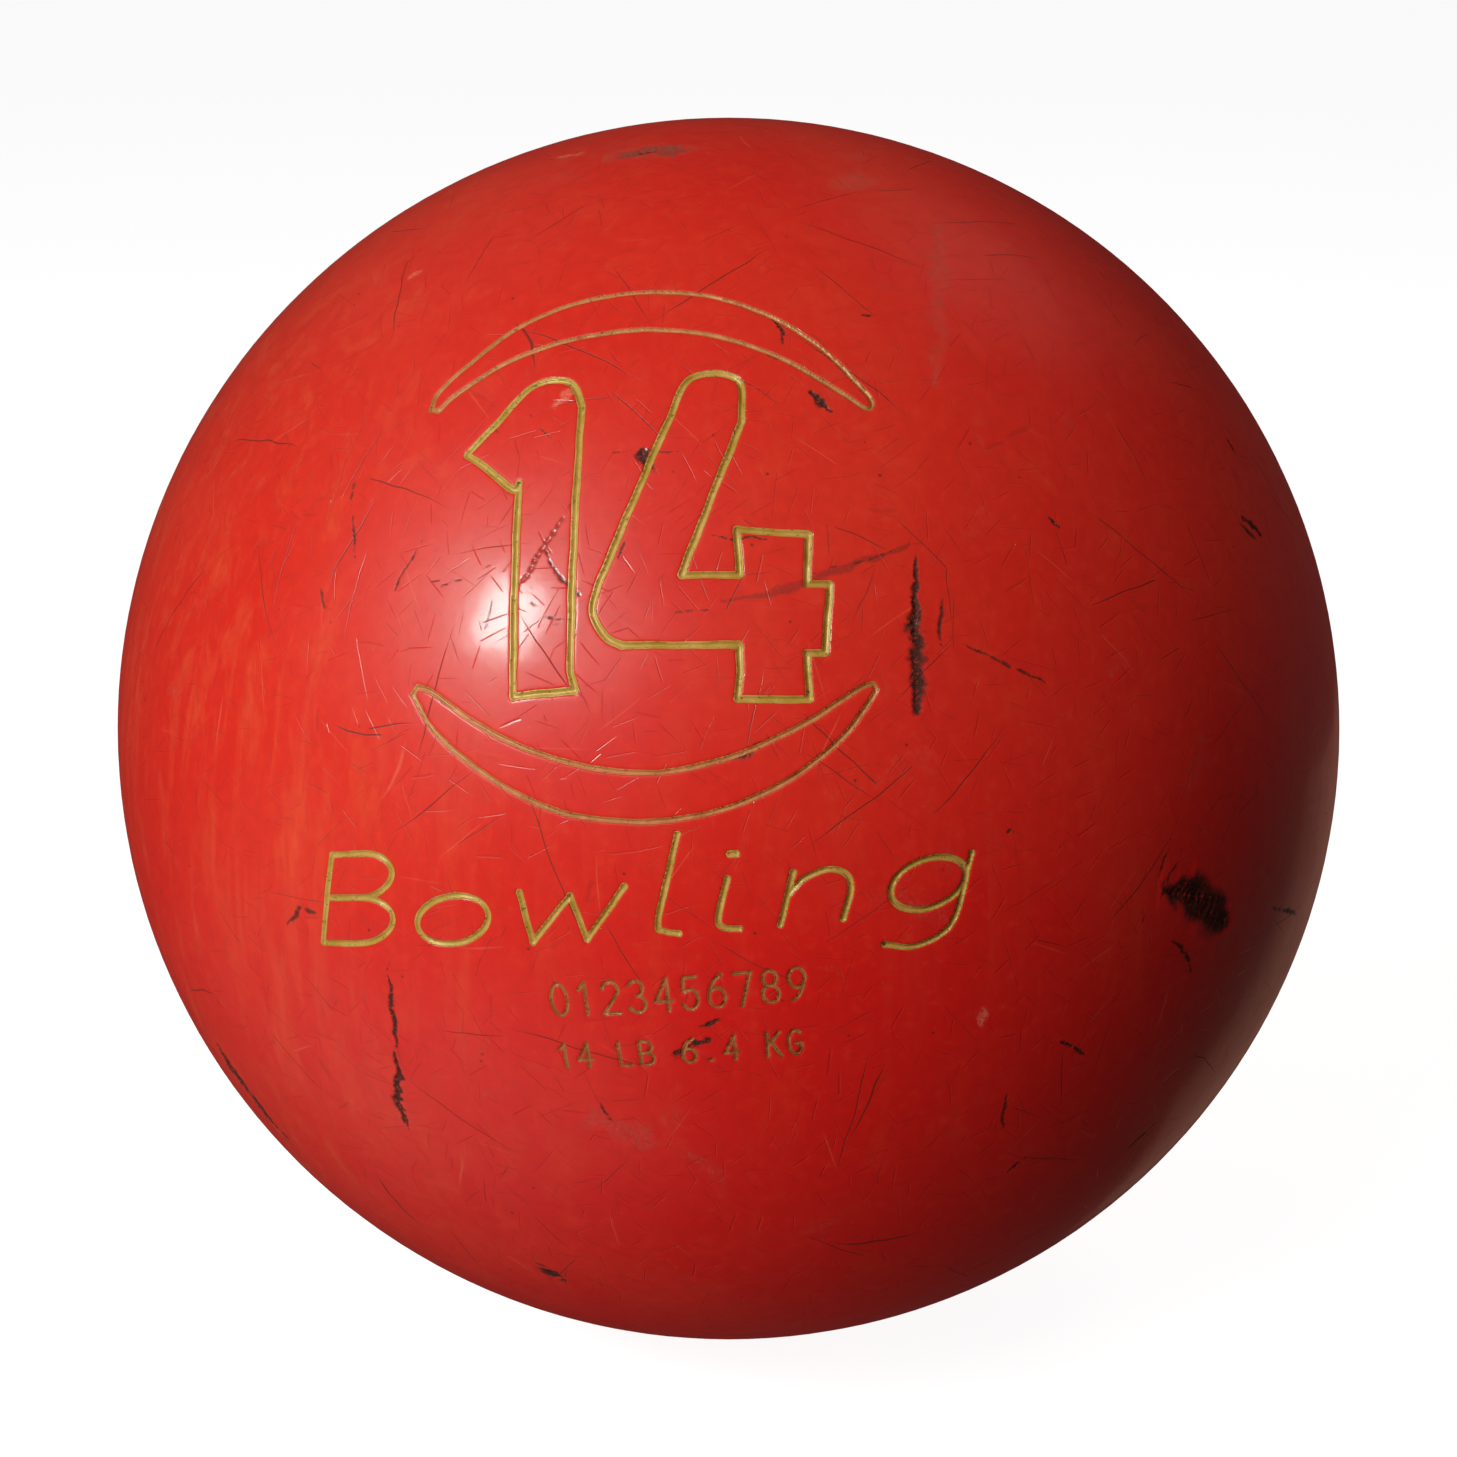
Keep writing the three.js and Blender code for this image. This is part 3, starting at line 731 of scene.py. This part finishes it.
def grip_holes():
    """The cutters of two finger holes side by side and a thumb hole."""
    apart = FINGER_RADIUS + FINGER_BRIDGE / 2
    cutters = []
    for side in (-apart, apart):
        offset = np.array([side, 0.0, 0.0])
        cutters += grip_hole(FINGER_RADIUS, FINGER_DEPTH, direction(0), offset)
    cutters += grip_hole(THUMB_RADIUS, THUMB_DEPTH, direction(THUMB_ANGLE), np.zeros(3))
    return cutters


def rod(name, start, end, radius, segments=SEGMENTS):
    """A round rod on the grip's centre line, between two distances from the ball's centre."""
    profile = [(0, start), (radius, start), (radius, end), (0, end)]
    return lathe_mesh(name, profile, direction(GRIP_ANGLE), np.zeros(3), segments)


def sphere_mesh(name, radius, longest_side):
    points, triangles = refined(*icosahedron(), lambda there: np.full(len(there), longest_side))
    return mesh_of(name, points * radius, triangles)


# ---- Materials ----

class Nodes:
    """A material's node tree, with short calls to add nodes and link them."""

    def __init__(self, name):
        self.material = bpy.data.materials.new(name)
        self.material.use_nodes = True
        self.tree = self.material.node_tree
        self.tree.nodes.clear()
        self.shader = self.tree.nodes.new("ShaderNodeBsdfPrincipled")
        output = self.tree.nodes.new("ShaderNodeOutputMaterial")
        self.tree.links.new(self.shader.outputs["BSDF"], output.inputs["Surface"])
        place = self.tree.nodes.new("ShaderNodeTexCoord")
        self.place = self.scaled(place.outputs["Object"], 1 / MM)

    def plug(self, value, socket):
        """Links another node's output to a socket, or sets a plain value on it."""
        if isinstance(value, bpy.types.NodeSocket):
            self.tree.links.new(value, socket)
        else:
            socket.default_value = value

    def add(self, kind, inputs=None, **settings):
        node = self.tree.nodes.new(kind)
        for key, value in settings.items():
            setattr(node, key, value)
        for key, value in (inputs or {}).items():
            self.plug(value, node.inputs[key])
        return node

    def scaled(self, vector, scale, rotation=(0, 0, 0)):
        scale = (scale,) * 3 if isinstance(scale, (int, float)) else scale
        inputs = {"Vector": vector, "Scale": scale, "Rotation": rotation}
        return self.add("ShaderNodeMapping", inputs).outputs["Vector"]

    def noise(self, scale, detail=3.0, roughness=0.5, distortion=0.0, vector=None):
        inputs = {"Vector": vector or self.place, "Scale": scale, "Detail": detail,
                  "Roughness": roughness, "Distortion": distortion}
        return self.add("ShaderNodeTexNoise", inputs).outputs["Fac"]

    def ranged(self, value, low, high, to_low=0.0, to_high=1.0):
        inputs = {"Value": value, "From Min": low, "From Max": high,
                  "To Min": to_low, "To Max": to_high}
        return self.add("ShaderNodeMapRange", inputs).outputs["Result"]

    def math(self, operation, a, b=0.0):
        return self.add("ShaderNodeMath", {0: a, 1: b}, operation=operation).outputs[0]

    def times(self, a, b):
        return self.math("MULTIPLY", a, b)

    def most(self, a, b):
        return self.math("MAXIMUM", a, b)

    def vector(self, operation, a, b=None, scale=None):
        inputs = {0: a}
        if b is not None:
            inputs[1] = b
        if scale is not None:
            inputs["Scale"] = scale
        node = self.add("ShaderNodeVectorMath", inputs, operation=operation)
        return node.outputs["Value" if operation in ("DOT_PRODUCT", "LENGTH") else "Vector"]

    def mix(self, share, a, b):
        """Mixes two colours, each another node's or a (red, green, blue) triple."""
        node = self.add("ShaderNodeMix", data_type="RGBA")
        self.plug(share, node.inputs["Factor"])
        for key, value in (("A", a), ("B", b)):
            value = (*value, 1) if isinstance(value, tuple) else value
            self.plug(value, next(socket for socket in node.inputs
                                  if socket.name == key and socket.type == "RGBA"))
        return next(socket for socket in node.outputs if socket.type == "RGBA")

    def tinted(self, color, share, strength, tint):
        """A colour under a tint as strong as share times strength."""
        return self.mix(self.times(share, strength), color, tint)

    def attribute(self, name):
        return self.add("ShaderNodeAttribute", attribute_name=name).outputs["Fac"]

    def bump(self, height, distance, strength=1.0, normal=None):
        inputs = {"Height": height, "Distance": distance, "Strength": strength}
        if normal is not None:
            inputs["Normal"] = normal
        return self.add("ShaderNodeBump", inputs).outputs["Normal"]

    def set(self, **values):
        """Plugs values into the shader's sockets, named with _ for each space."""
        for key, value in values.items():
            self.plug(value, self.shader.inputs[key.replace("_", " ")])


def scratches(nodes, cell, width, reach, kept, seed):
    """Straight scratches in random directions. Each cell of a Voronoi pattern has a plane through
    its middle, and the ball is scratched where it crosses the plane. More cells have a scratch
    the higher kept is."""
    shaken = nodes.add("ShaderNodeTexNoise", {"Vector": nodes.place, "Scale": 0.12, "Detail": 1.0})
    offset = nodes.vector("SCALE", shaken.outputs["Color"], scale=0.1 * reach)
    moved = nodes.vector("ADD", nodes.vector("ADD", nodes.place, offset), (seed, 3 * seed, -seed))
    cells = nodes.add("ShaderNodeTexVoronoi", {"Vector": moved, "Scale": 1 / cell})
    draw = cells.outputs["Color"]
    turn = nodes.vector("NORMALIZE", nodes.vector("SUBTRACT", draw, (0.5, 0.5, 0.5)))
    inside = nodes.vector("SUBTRACT", moved, cells.outputs["Position"])
    gap = nodes.math("ABSOLUTE", nodes.vector("DOT_PRODUCT", inside, turn))
    out = nodes.vector("LENGTH", inside)
    taper = nodes.ranged(out, reach, 0.5 * reach)
    narrowed = nodes.math("DIVIDE", gap, nodes.math("ADD", taper, 0.05))
    line = nodes.ranged(narrowed, width, 0.2 * width)
    lot = nodes.vector("DOT_PRODUCT", draw, (0.61, 0.27, 0.12))
    return nodes.times(nodes.times(line, taper), nodes.ranged(lot, kept + 0.05, kept - 0.05))


def cover_color(nodes):
    """Marbled polyester with pale orange streaks down the left side. Over it lies painted light:
    crimson below and to the right, on the shaded side, and a lighter orange above and to the left,
    where the key light falls."""
    # Painted light: the slant makes the upper left, where the key light falls, lighter and orange,
    # and the lower right crimson. The noise clouds over it are the marbling.
    lit_side_slant = nodes.vector("DOT_PRODUCT", nodes.place, tuple(LABEL_UP * 0.7 - LABEL_RIGHT * 0.7))
    clouds = nodes.noise(0.012, 3.0, 0.55, 0.9)
    orange_marbling_and_lit_side = nodes.math("ADD", nodes.ranged(lit_side_slant, -50, 110, 0.0, 0.8),
                        nodes.ranged(clouds, 0.35, 0.7, -0.2, 0.45))
    # Crimson is the painted shaded end and orange the painted lit end, mixed by the slant and the
    # marbled clouds.
    color = nodes.mix(orange_marbling_and_lit_side, (0.61, 0.0068, 0.0046), (0.65, 0.030, 0.0135))
    bands = nodes.scaled(nodes.place, (0.2, 0.15, 0.016), (0.1, 0.35, 0.0))
    streaks = nodes.ranged(nodes.noise(1.0, 5.0, 0.7, 0.5, bands), 0.5, 0.75)
    left = nodes.ranged(nodes.vector("DOT_PRODUCT", nodes.place, (-1, 0, 0)), 20, 80, 0.1, 0.42)
    color = nodes.tinted(color, streaks, left, (0.72, 0.10, 0.032))
    mottle = nodes.noise(0.45, 5.0, 0.68)
    color = nodes.mix(nodes.ranged(mottle, 0.45, 0.75, 0.0, 0.22), color, (0.33, 0.013, 0.008))
    return nodes.mix(nodes.ranged(mottle, 0.45, 0.25, 0.0, 0.2), color, (0.72, 0.07, 0.03))


def dark_scratches(nodes):
    """The scratches that hold dirt, with hairlines among them, and the hairlines alone."""
    fine = nodes.most(scratches(nodes, 9, 0.07, 6.5, 0.55, 3.1),
                      scratches(nodes, 5, 0.05, 3.2, 0.5, 17.7))
    deep = nodes.most(scratches(nodes, 23, 0.13, 15, 0.5, 7.3),
                      scratches(nodes, 15, 0.1, 9, 0.47, 29.9))
    hair = scratches(nodes, 4.0, 0.1, 3.4, 0.75, 53.9)
    lines = nodes.most(nodes.times(fine, 0.5), deep)
    return nodes.most(lines, nodes.times(hair, 0.22)), hair


def cover_material():
    """Worn glossy polyester: marbled reds under painted light that is lighter towards the upper left,
    scratches, lane scuffs, and dirt in the gouges.
    """
    nodes = Nodes("cover_red_worn_polyester")
    lines, hair = dark_scratches(nodes)
    pale_lines = scratches(nodes, 11, 0.1, 6, 0.42, 41.3)
    specks = nodes.add("ShaderNodeTexVoronoi", {"Vector": nodes.place, "Scale": 0.14})
    dots = nodes.ranged(specks.outputs["Distance"], 0.05, 0.02)
    fine = nodes.noise(2.2, 3.0, 0.7)
    scuff_patches = nodes.ranged(nodes.noise(0.055, 5.0, 0.75, 0.6), 0.60, 0.72)
    scuff = nodes.times(scuff_patches, nodes.ranged(fine, 0.48, 0.62))
    rub = nodes.times(nodes.attribute("rub"), nodes.ranged(fine, 0.44, 0.6))
    rub = nodes.most(rub, nodes.times(scuff, 0.4))
    rosy = nodes.times(nodes.attribute("rosy"), nodes.ranged(fine, 0.35, 0.55))
    dirt = nodes.times(nodes.attribute("dirt"), nodes.ranged(fine, 0.26, 0.46))

    color = nodes.tinted(cover_color(nodes), lines, 0.85, (0.09, 0.012, 0.008))
    color = nodes.tinted(color, pale_lines, 0.35, (0.72, 0.13, 0.07))
    color = nodes.tinted(color, dots, 0.75, (0.05, 0.018, 0.010))
    color = nodes.tinted(color, rub, 0.85, (0.20, 0.12, 0.08))
    color = nodes.tinted(color, rosy, 0.7, (0.70, 0.16, 0.10))
    color = nodes.tinted(color, dirt, 0.94, (0.014, 0.010, 0.006))

    rough = nodes.ranged(nodes.noise(0.05, 3.0, 0.6), 0.3, 0.7, 0.38, 0.48)
    rough = nodes.math("ADD", rough, nodes.times(lines, 0.2))
    rough = nodes.math("ADD", rough, nodes.times(nodes.most(dirt, rub), 0.3))
    peel = nodes.bump(nodes.noise(0.35, 2.0, 0.5), 0.00004, 0.5)
    unscratched = nodes.math("SUBTRACT", 1.0, nodes.most(lines, hair))
    scratched = nodes.bump(unscratched, 0.00005, 0.7, peel)
    grit = nodes.bump(fine, 0.00015, nodes.most(dirt, nodes.times(rub, 0.5)), scratched)
    nodes.set(Base_Color=color, Roughness=rough, Normal=grit, IOR=1.5, Coat_Weight=0.35,
              Coat_Roughness=0.15, Coat_Normal=scratched)
    return nodes.material


def paint_material(name, light, dark, bare):
    """Old gold paint: uneven, with flecks of dirt, and red where it has worn thin."""
    nodes = Nodes(name)
    tone = nodes.noise(0.35, 3.0, 0.6)
    color = nodes.mix(nodes.ranged(tone, 0.35, 0.65), dark, light)
    flecks = nodes.noise(1.4, 4.0, 0.7)
    color = nodes.mix(nodes.ranged(flecks, 0.57, 0.68, 0.0, 0.85), color, (0.045, 0.03, 0.014))
    thin = nodes.noise(0.8, 2.0, 0.6, 0.0, nodes.scaled(nodes.place, 1.0, (0.4, 1.0, 0.2)))
    worn = nodes.ranged(thin, 0.68 - bare, 0.78 - bare)
    color = nodes.tinted(color, worn, 0.7, (0.40, 0.035, 0.012))
    rough = nodes.ranged(flecks, 0.3, 0.7, 0.3, 0.5)
    ripples = nodes.bump(nodes.noise(1.6, 2.0, 0.5), 0.00005, 0.6)
    nodes.set(Base_Color=color, Roughness=rough, Metallic=0.15, IOR=1.5, Normal=ripples)
    return nodes.material


def plain_material(name, light, dark, scale, roughness, grain):
    """A matte or semi-gloss material with speckled colour and a little grain."""
    nodes = Nodes(name)
    speckle = nodes.noise(scale, 4.0, 0.65)
    color = nodes.mix(nodes.ranged(speckle, 0.35, 0.65), dark, light)
    rough = nodes.ranged(speckle, 0.3, 0.7, roughness - 0.08, roughness + 0.08)
    grained = nodes.bump(nodes.noise(2 * scale, 3.0, 0.6), grain * MM, 0.6)
    nodes.set(Base_Color=color, Roughness=rough, Normal=grained)
    return nodes.material


# ---- Pieces ----

def cover_object(points, triangles, past_lip, engraving, material):
    """The cover: its skin with grooves and wear, its cavity, and the pin's and grip's holes."""
    _, mark, half, _ = engraving.nearest(points)
    height, shares = wear_at(points)
    height += groove_height(past_lip, half, engraving.depths[mark])
    height += WAVE_HEIGHT * ripple(points * BALL_RADIUS, WAVE_LENGTH, 5)
    mesh = mesh_of("coverstock_skin", points * (BALL_RADIUS + height)[:, None], triangles)
    for name, values in zip(("dirt", "rub", "rosy"), shares):
        set_attribute(mesh, name, values)
    cover = add_object("coverstock_worn", mesh, material)
    pin_hole = rod("pin_hole", CAVITY_RADIUS - 4, BALL_RADIUS + 6, PIN_RADIUS + PIN_GAP, PIN_SEGMENTS)
    cavity = sphere_mesh("cavity", CAVITY_RADIUS, CAVITY_COARSEST)
    return cut(cover, [cavity, pin_hole, *grip_holes()])


def groove_height(past_lip, half, depth):
    """The cover's height past a groove's lip: a rounded lip, then the wall and floor."""
    lip = -LIP_DROP * np.exp(-np.maximum(past_lip, 0) / LIP_REACH)
    under_paint = PAINT_SKIN * np.clip(-past_lip / PAINT_SKIN, 0, 1)
    return lip - channel(past_lip, half, depth) - under_paint


def channel(past_lip, half, depth):
    """How far the paint's surface is below the lip: a hollow with steep sides."""
    share = np.clip(-past_lip / half, 0, 1)
    return depth * (1 - (1 - share) ** 2.3)


def paint_object(node, triangles, points, past_lip, half, depth, material):
    """The paint in one mark: a hollow top and an underside that follows the groove."""
    used, faces = np.unique(triangles, return_inverse=True)
    faces = faces.reshape(-1, 3)
    there, past, half = points[used], past_lip[used], half[used]
    top = -LIP_DROP + PAINT_RISE - channel(past, half, depth)
    top += PAINT_UNEVEN * ripple(there * BALL_RADIUS, 1.6, 31) * np.clip(-past / 0.2, 0, 1)
    floor = groove_height(past, half, depth) + PAINT_GAP
    both = np.vstack([there * (BALL_RADIUS + top)[:, None], there * (BALL_RADIUS + floor)[:, None]])
    count = len(used)
    sides, of_triangle = sides_of(faces)
    uses = np.bincount(of_triangle.ravel(), minlength=len(sides))
    walls = []
    rim = {tuple(side) for side in sides[uses == 1]}
    for face in faces:
        for a, b in zip(face, np.roll(face, -1)):
            if (min(a, b), max(a, b)) in rim:
                walls += [(b, a, a + count), (b, a + count, b + count)]
    all_faces = np.vstack([faces, faces[:, ::-1] + count, np.array(walls)])
    piece = add_object(node.replace("_paint", "_inlay"), mesh_of(node, both, all_faces), material)
    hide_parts(node)
    return piece


def label_objects(marks, points, triangles, past_lip, engraving, paints):
    """The paint in every mark, from the skin's triangles that lie in its groove."""
    _, _, half, _ = engraving.nearest(points)
    inside = triangles[(past_lip[triangles] <= 0).all(1)]
    deep, owner, _, _ = engraving.nearest(unit(points[inside].sum(1)))
    made = []
    for number, (node, _, line) in enumerate(marks):
        own = inside[(owner == number) & (deep < 0)]
        paint = paints[line["paint"]]
        made.append(paint_object(node, own, points, past_lip, half, line["depth"], paint))
    return made


def core_object(material):
    """The filler ball, with a pocket for the weight block."""
    ball = sphere_mesh("outer_core", CORE_RADIUS, INSIDE_COARSEST)
    core = add_object("outer_core_cast", ball, material)
    pocket = rod("pocket", BLOCK_UNDERSIDE - FIT_GAP, BALL_RADIUS, BLOCK_RADIUS + FIT_GAP)
    return cut(core, [pocket, *grip_holes()])


def block_object(material):
    """The pancake block, domed on top like the filler ball round it."""
    disc = rod("weight_block", BLOCK_UNDERSIDE, BALL_RADIUS, BLOCK_RADIUS)
    block = add_object("weight_block_cast", disc, material)
    cut(block, [sphere_mesh("limit", CORE_RADIUS, INSIDE_COARSEST)], "INTERSECT")
    return cut(block, grip_holes())


def pin_object(material):
    """The locator pin, all but flush with the ball and rounded like it."""
    angles = np.linspace(0, math.asin(PIN_RADIUS / BALL_RADIUS), 9)
    top = BALL_RADIUS - 0.02
    cap = [(top * math.sin(a), top * math.cos(a)) for a in angles]
    profile = [(0, CAVITY_RADIUS), (PIN_RADIUS, CAVITY_RADIUS), *cap[::-1]]
    mesh = lathe_mesh("locator_pin", profile, direction(GRIP_ANGLE), np.zeros(3), PIN_SEGMENTS)
    return add_object("locator_pin_flush", mesh, material)


# ---- Stage, lights and camera ----

def to_world(right, up, towards):
    """A direction given as seen from the camera, in the part's frame."""
    return unit(right * LABEL_RIGHT + up * LABEL_UP + towards * FACING)


def add_light(name, towards, distance, size, power, color):
    """A soft square light that looks at the ball from a direction."""
    data = bpy.data.lights.new(name, "AREA")
    data.size = size
    data.energy = power
    data.color = color
    light = bpy.data.objects.new(name, data)
    light.location = Vector(towards) * distance
    light.rotation_euler = (-Vector(towards)).to_track_quat("-Z", "Y").to_euler()
    light.visible_camera = False
    bpy.context.scene.collection.objects.link(light)
    return light


def add_lights():
    """A small light that makes the highlight, two behind, and matte ones for all the rest."""
    add_light("key", to_world(-0.597, 0.305, 0.742), 1.1, 0.2, 7.3, (0.6, 1.0, 0.97))
    add_light("back", to_world(0.0, 0.0, -1.0), 0.42, 0.2, 1.9, (1.0, 0.98, 0.95))
    add_light("rim", to_world(0.55, -0.25, -0.80), 0.8, 0.4, 0.12, (1.0, 0.5, 0.33))
    matte = [
        ("wide", (-0.37, 0.24, 0.90), 1.1, 0.34, 7.7),
        ("low_left", (-0.777, -0.598, -0.196), 0.9, 0.6, 1.9),
        ("low", (-0.50, -0.82, 0.25), 0.9, 0.6, 2.2),
        ("top_right", (0.48, 0.83, -0.22), 0.9, 0.4, 2.0),
        ("top_left", (-0.50, 0.80, -0.30), 0.9, 0.4, 0.9),
        ("right_back", (0.78, 0.0, -0.63), 0.45, 0.3, 0.25),
    ]
    for name, seen, distance, size, power in matte:
        light = add_light(name, to_world(*seen), distance, size, power, (1.0, 0.92, 0.88))
        light.visible_glossy = False


def shadeless_material(name, color, gather):
    """A pale surface that mostly shines by itself, and gathers a little light and shadow."""
    material = bpy.data.materials.new(name)
    material.use_nodes = True
    sockets = material.node_tree.nodes["Principled BSDF"].inputs
    values = {"Base Color": (gather, gather, gather, 1), "Roughness": 1.0,
              "Specular IOR Level": 0.0, "Emission Color": color, "Emission Strength": 1.0}
    for socket, value in values.items():
        sockets[socket].default_value = value
    return material


def add_stage():
    """A pale floor under the ball and a pale dome round it, which don't light it."""
    floor_mesh = bpy.data.meshes.new("floor")
    sides = [(-1, -1), (1, -1), (1, 1), (-1, 1)]
    corners = [(x * FLOOR_HALF, y * FLOOR_HALF, CAD_BOX[0].z) for x, y in sides]
    floor_mesh.from_pydata(corners, [], [(0, 1, 2, 3)])
    floor_material = shadeless_material("floor_pale", (0.93, 0.93, 0.93, 1), 0.2)
    floor = add_object("floor", floor_mesh, floor_material)
    build = bmesh.new()
    bmesh.ops.create_uvsphere(build, u_segments=48, v_segments=24, radius=DOME_RADIUS)
    dome_mesh = bpy.data.meshes.new("dome")
    build.to_mesh(dome_mesh)
    build.free()
    dome_material = shadeless_material("dome_pale", (0.94, 0.94, 0.94, 1), 0.0)
    dome = add_object("dome", dome_mesh, dome_material)
    for thing in (floor, dome):
        for ray in ("diffuse", "glossy", "transmission", "shadow"):
            setattr(thing, f"visible_{ray}", False)


def add_world():
    world = bpy.data.worlds.new("room")
    world.use_nodes = True
    background = world.node_tree.nodes["Background"]
    background.inputs["Color"].default_value = (0.030, 0.027, 0.024, 1)
    background.inputs["Strength"].default_value = 1.0
    bpy.context.scene.world = world


def add_camera():
    data = bpy.data.cameras.new("camera")
    data.sensor_width = 36
    data.angle = math.radians(CAMERA_ANGLE)
    camera = bpy.data.objects.new("camera", data)
    camera.location = Vector(FACING) * CAMERA_DISTANCE
    camera.rotation_mode = "QUATERNION"
    camera.rotation_quaternion = (-Vector(FACING)).to_track_quat("-Z", "Y")
    bpy.context.scene.collection.objects.link(camera)
    bpy.context.scene.camera = camera


def build():
    marks = label_marks()
    engraving = Engraving(marks)
    points, triangles, past_lip = skin_mesh(engraving)
    cover = cover_object(points, triangles, past_lip, engraving, cover_material())
    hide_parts("coverstock")
    paints = {
        "thick": paint_material("label_gold_thick", (0.55, 0.30, 0.075), (0.42, 0.22, 0.03), 0.0),
        "worn": paint_material("label_gold_worn", (0.54, 0.18, 0.058), (0.42, 0.12, 0.03), 0.05),
        "thin": paint_material("label_gold_thin", (0.44, 0.14, 0.045), (0.30, 0.085, 0.022), 0.12),
    }
    inlays = label_objects(marks, points, triangles, past_lip, engraving, paints)
    core = core_object(plain_material("filler_grey_cast", (0.30, 0.26, 0.20),
                                      (0.20, 0.17, 0.13), 0.5, 0.8, 0.15))
    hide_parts("outer_core")
    block = block_object(plain_material("block_brown_cast", (0.12, 0.075, 0.045),
                                        (0.07, 0.045, 0.03), 0.7, 0.75, 0.12))
    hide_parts("weight_block")
    pin = pin_object(plain_material("pin_cream_polyester", (0.72, 0.64, 0.45),
                                    (0.60, 0.52, 0.34), 0.3, 0.32, 0.02))
    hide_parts("locator_pin")
    for piece in (cover, core, block, pin, *inlays):
        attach(piece, "root")


bpy.context.scene.view_settings.view_transform = "Standard"
add_camera()
add_world()
add_lights()
add_stage()
build()

bpy.context.view_layer.update()
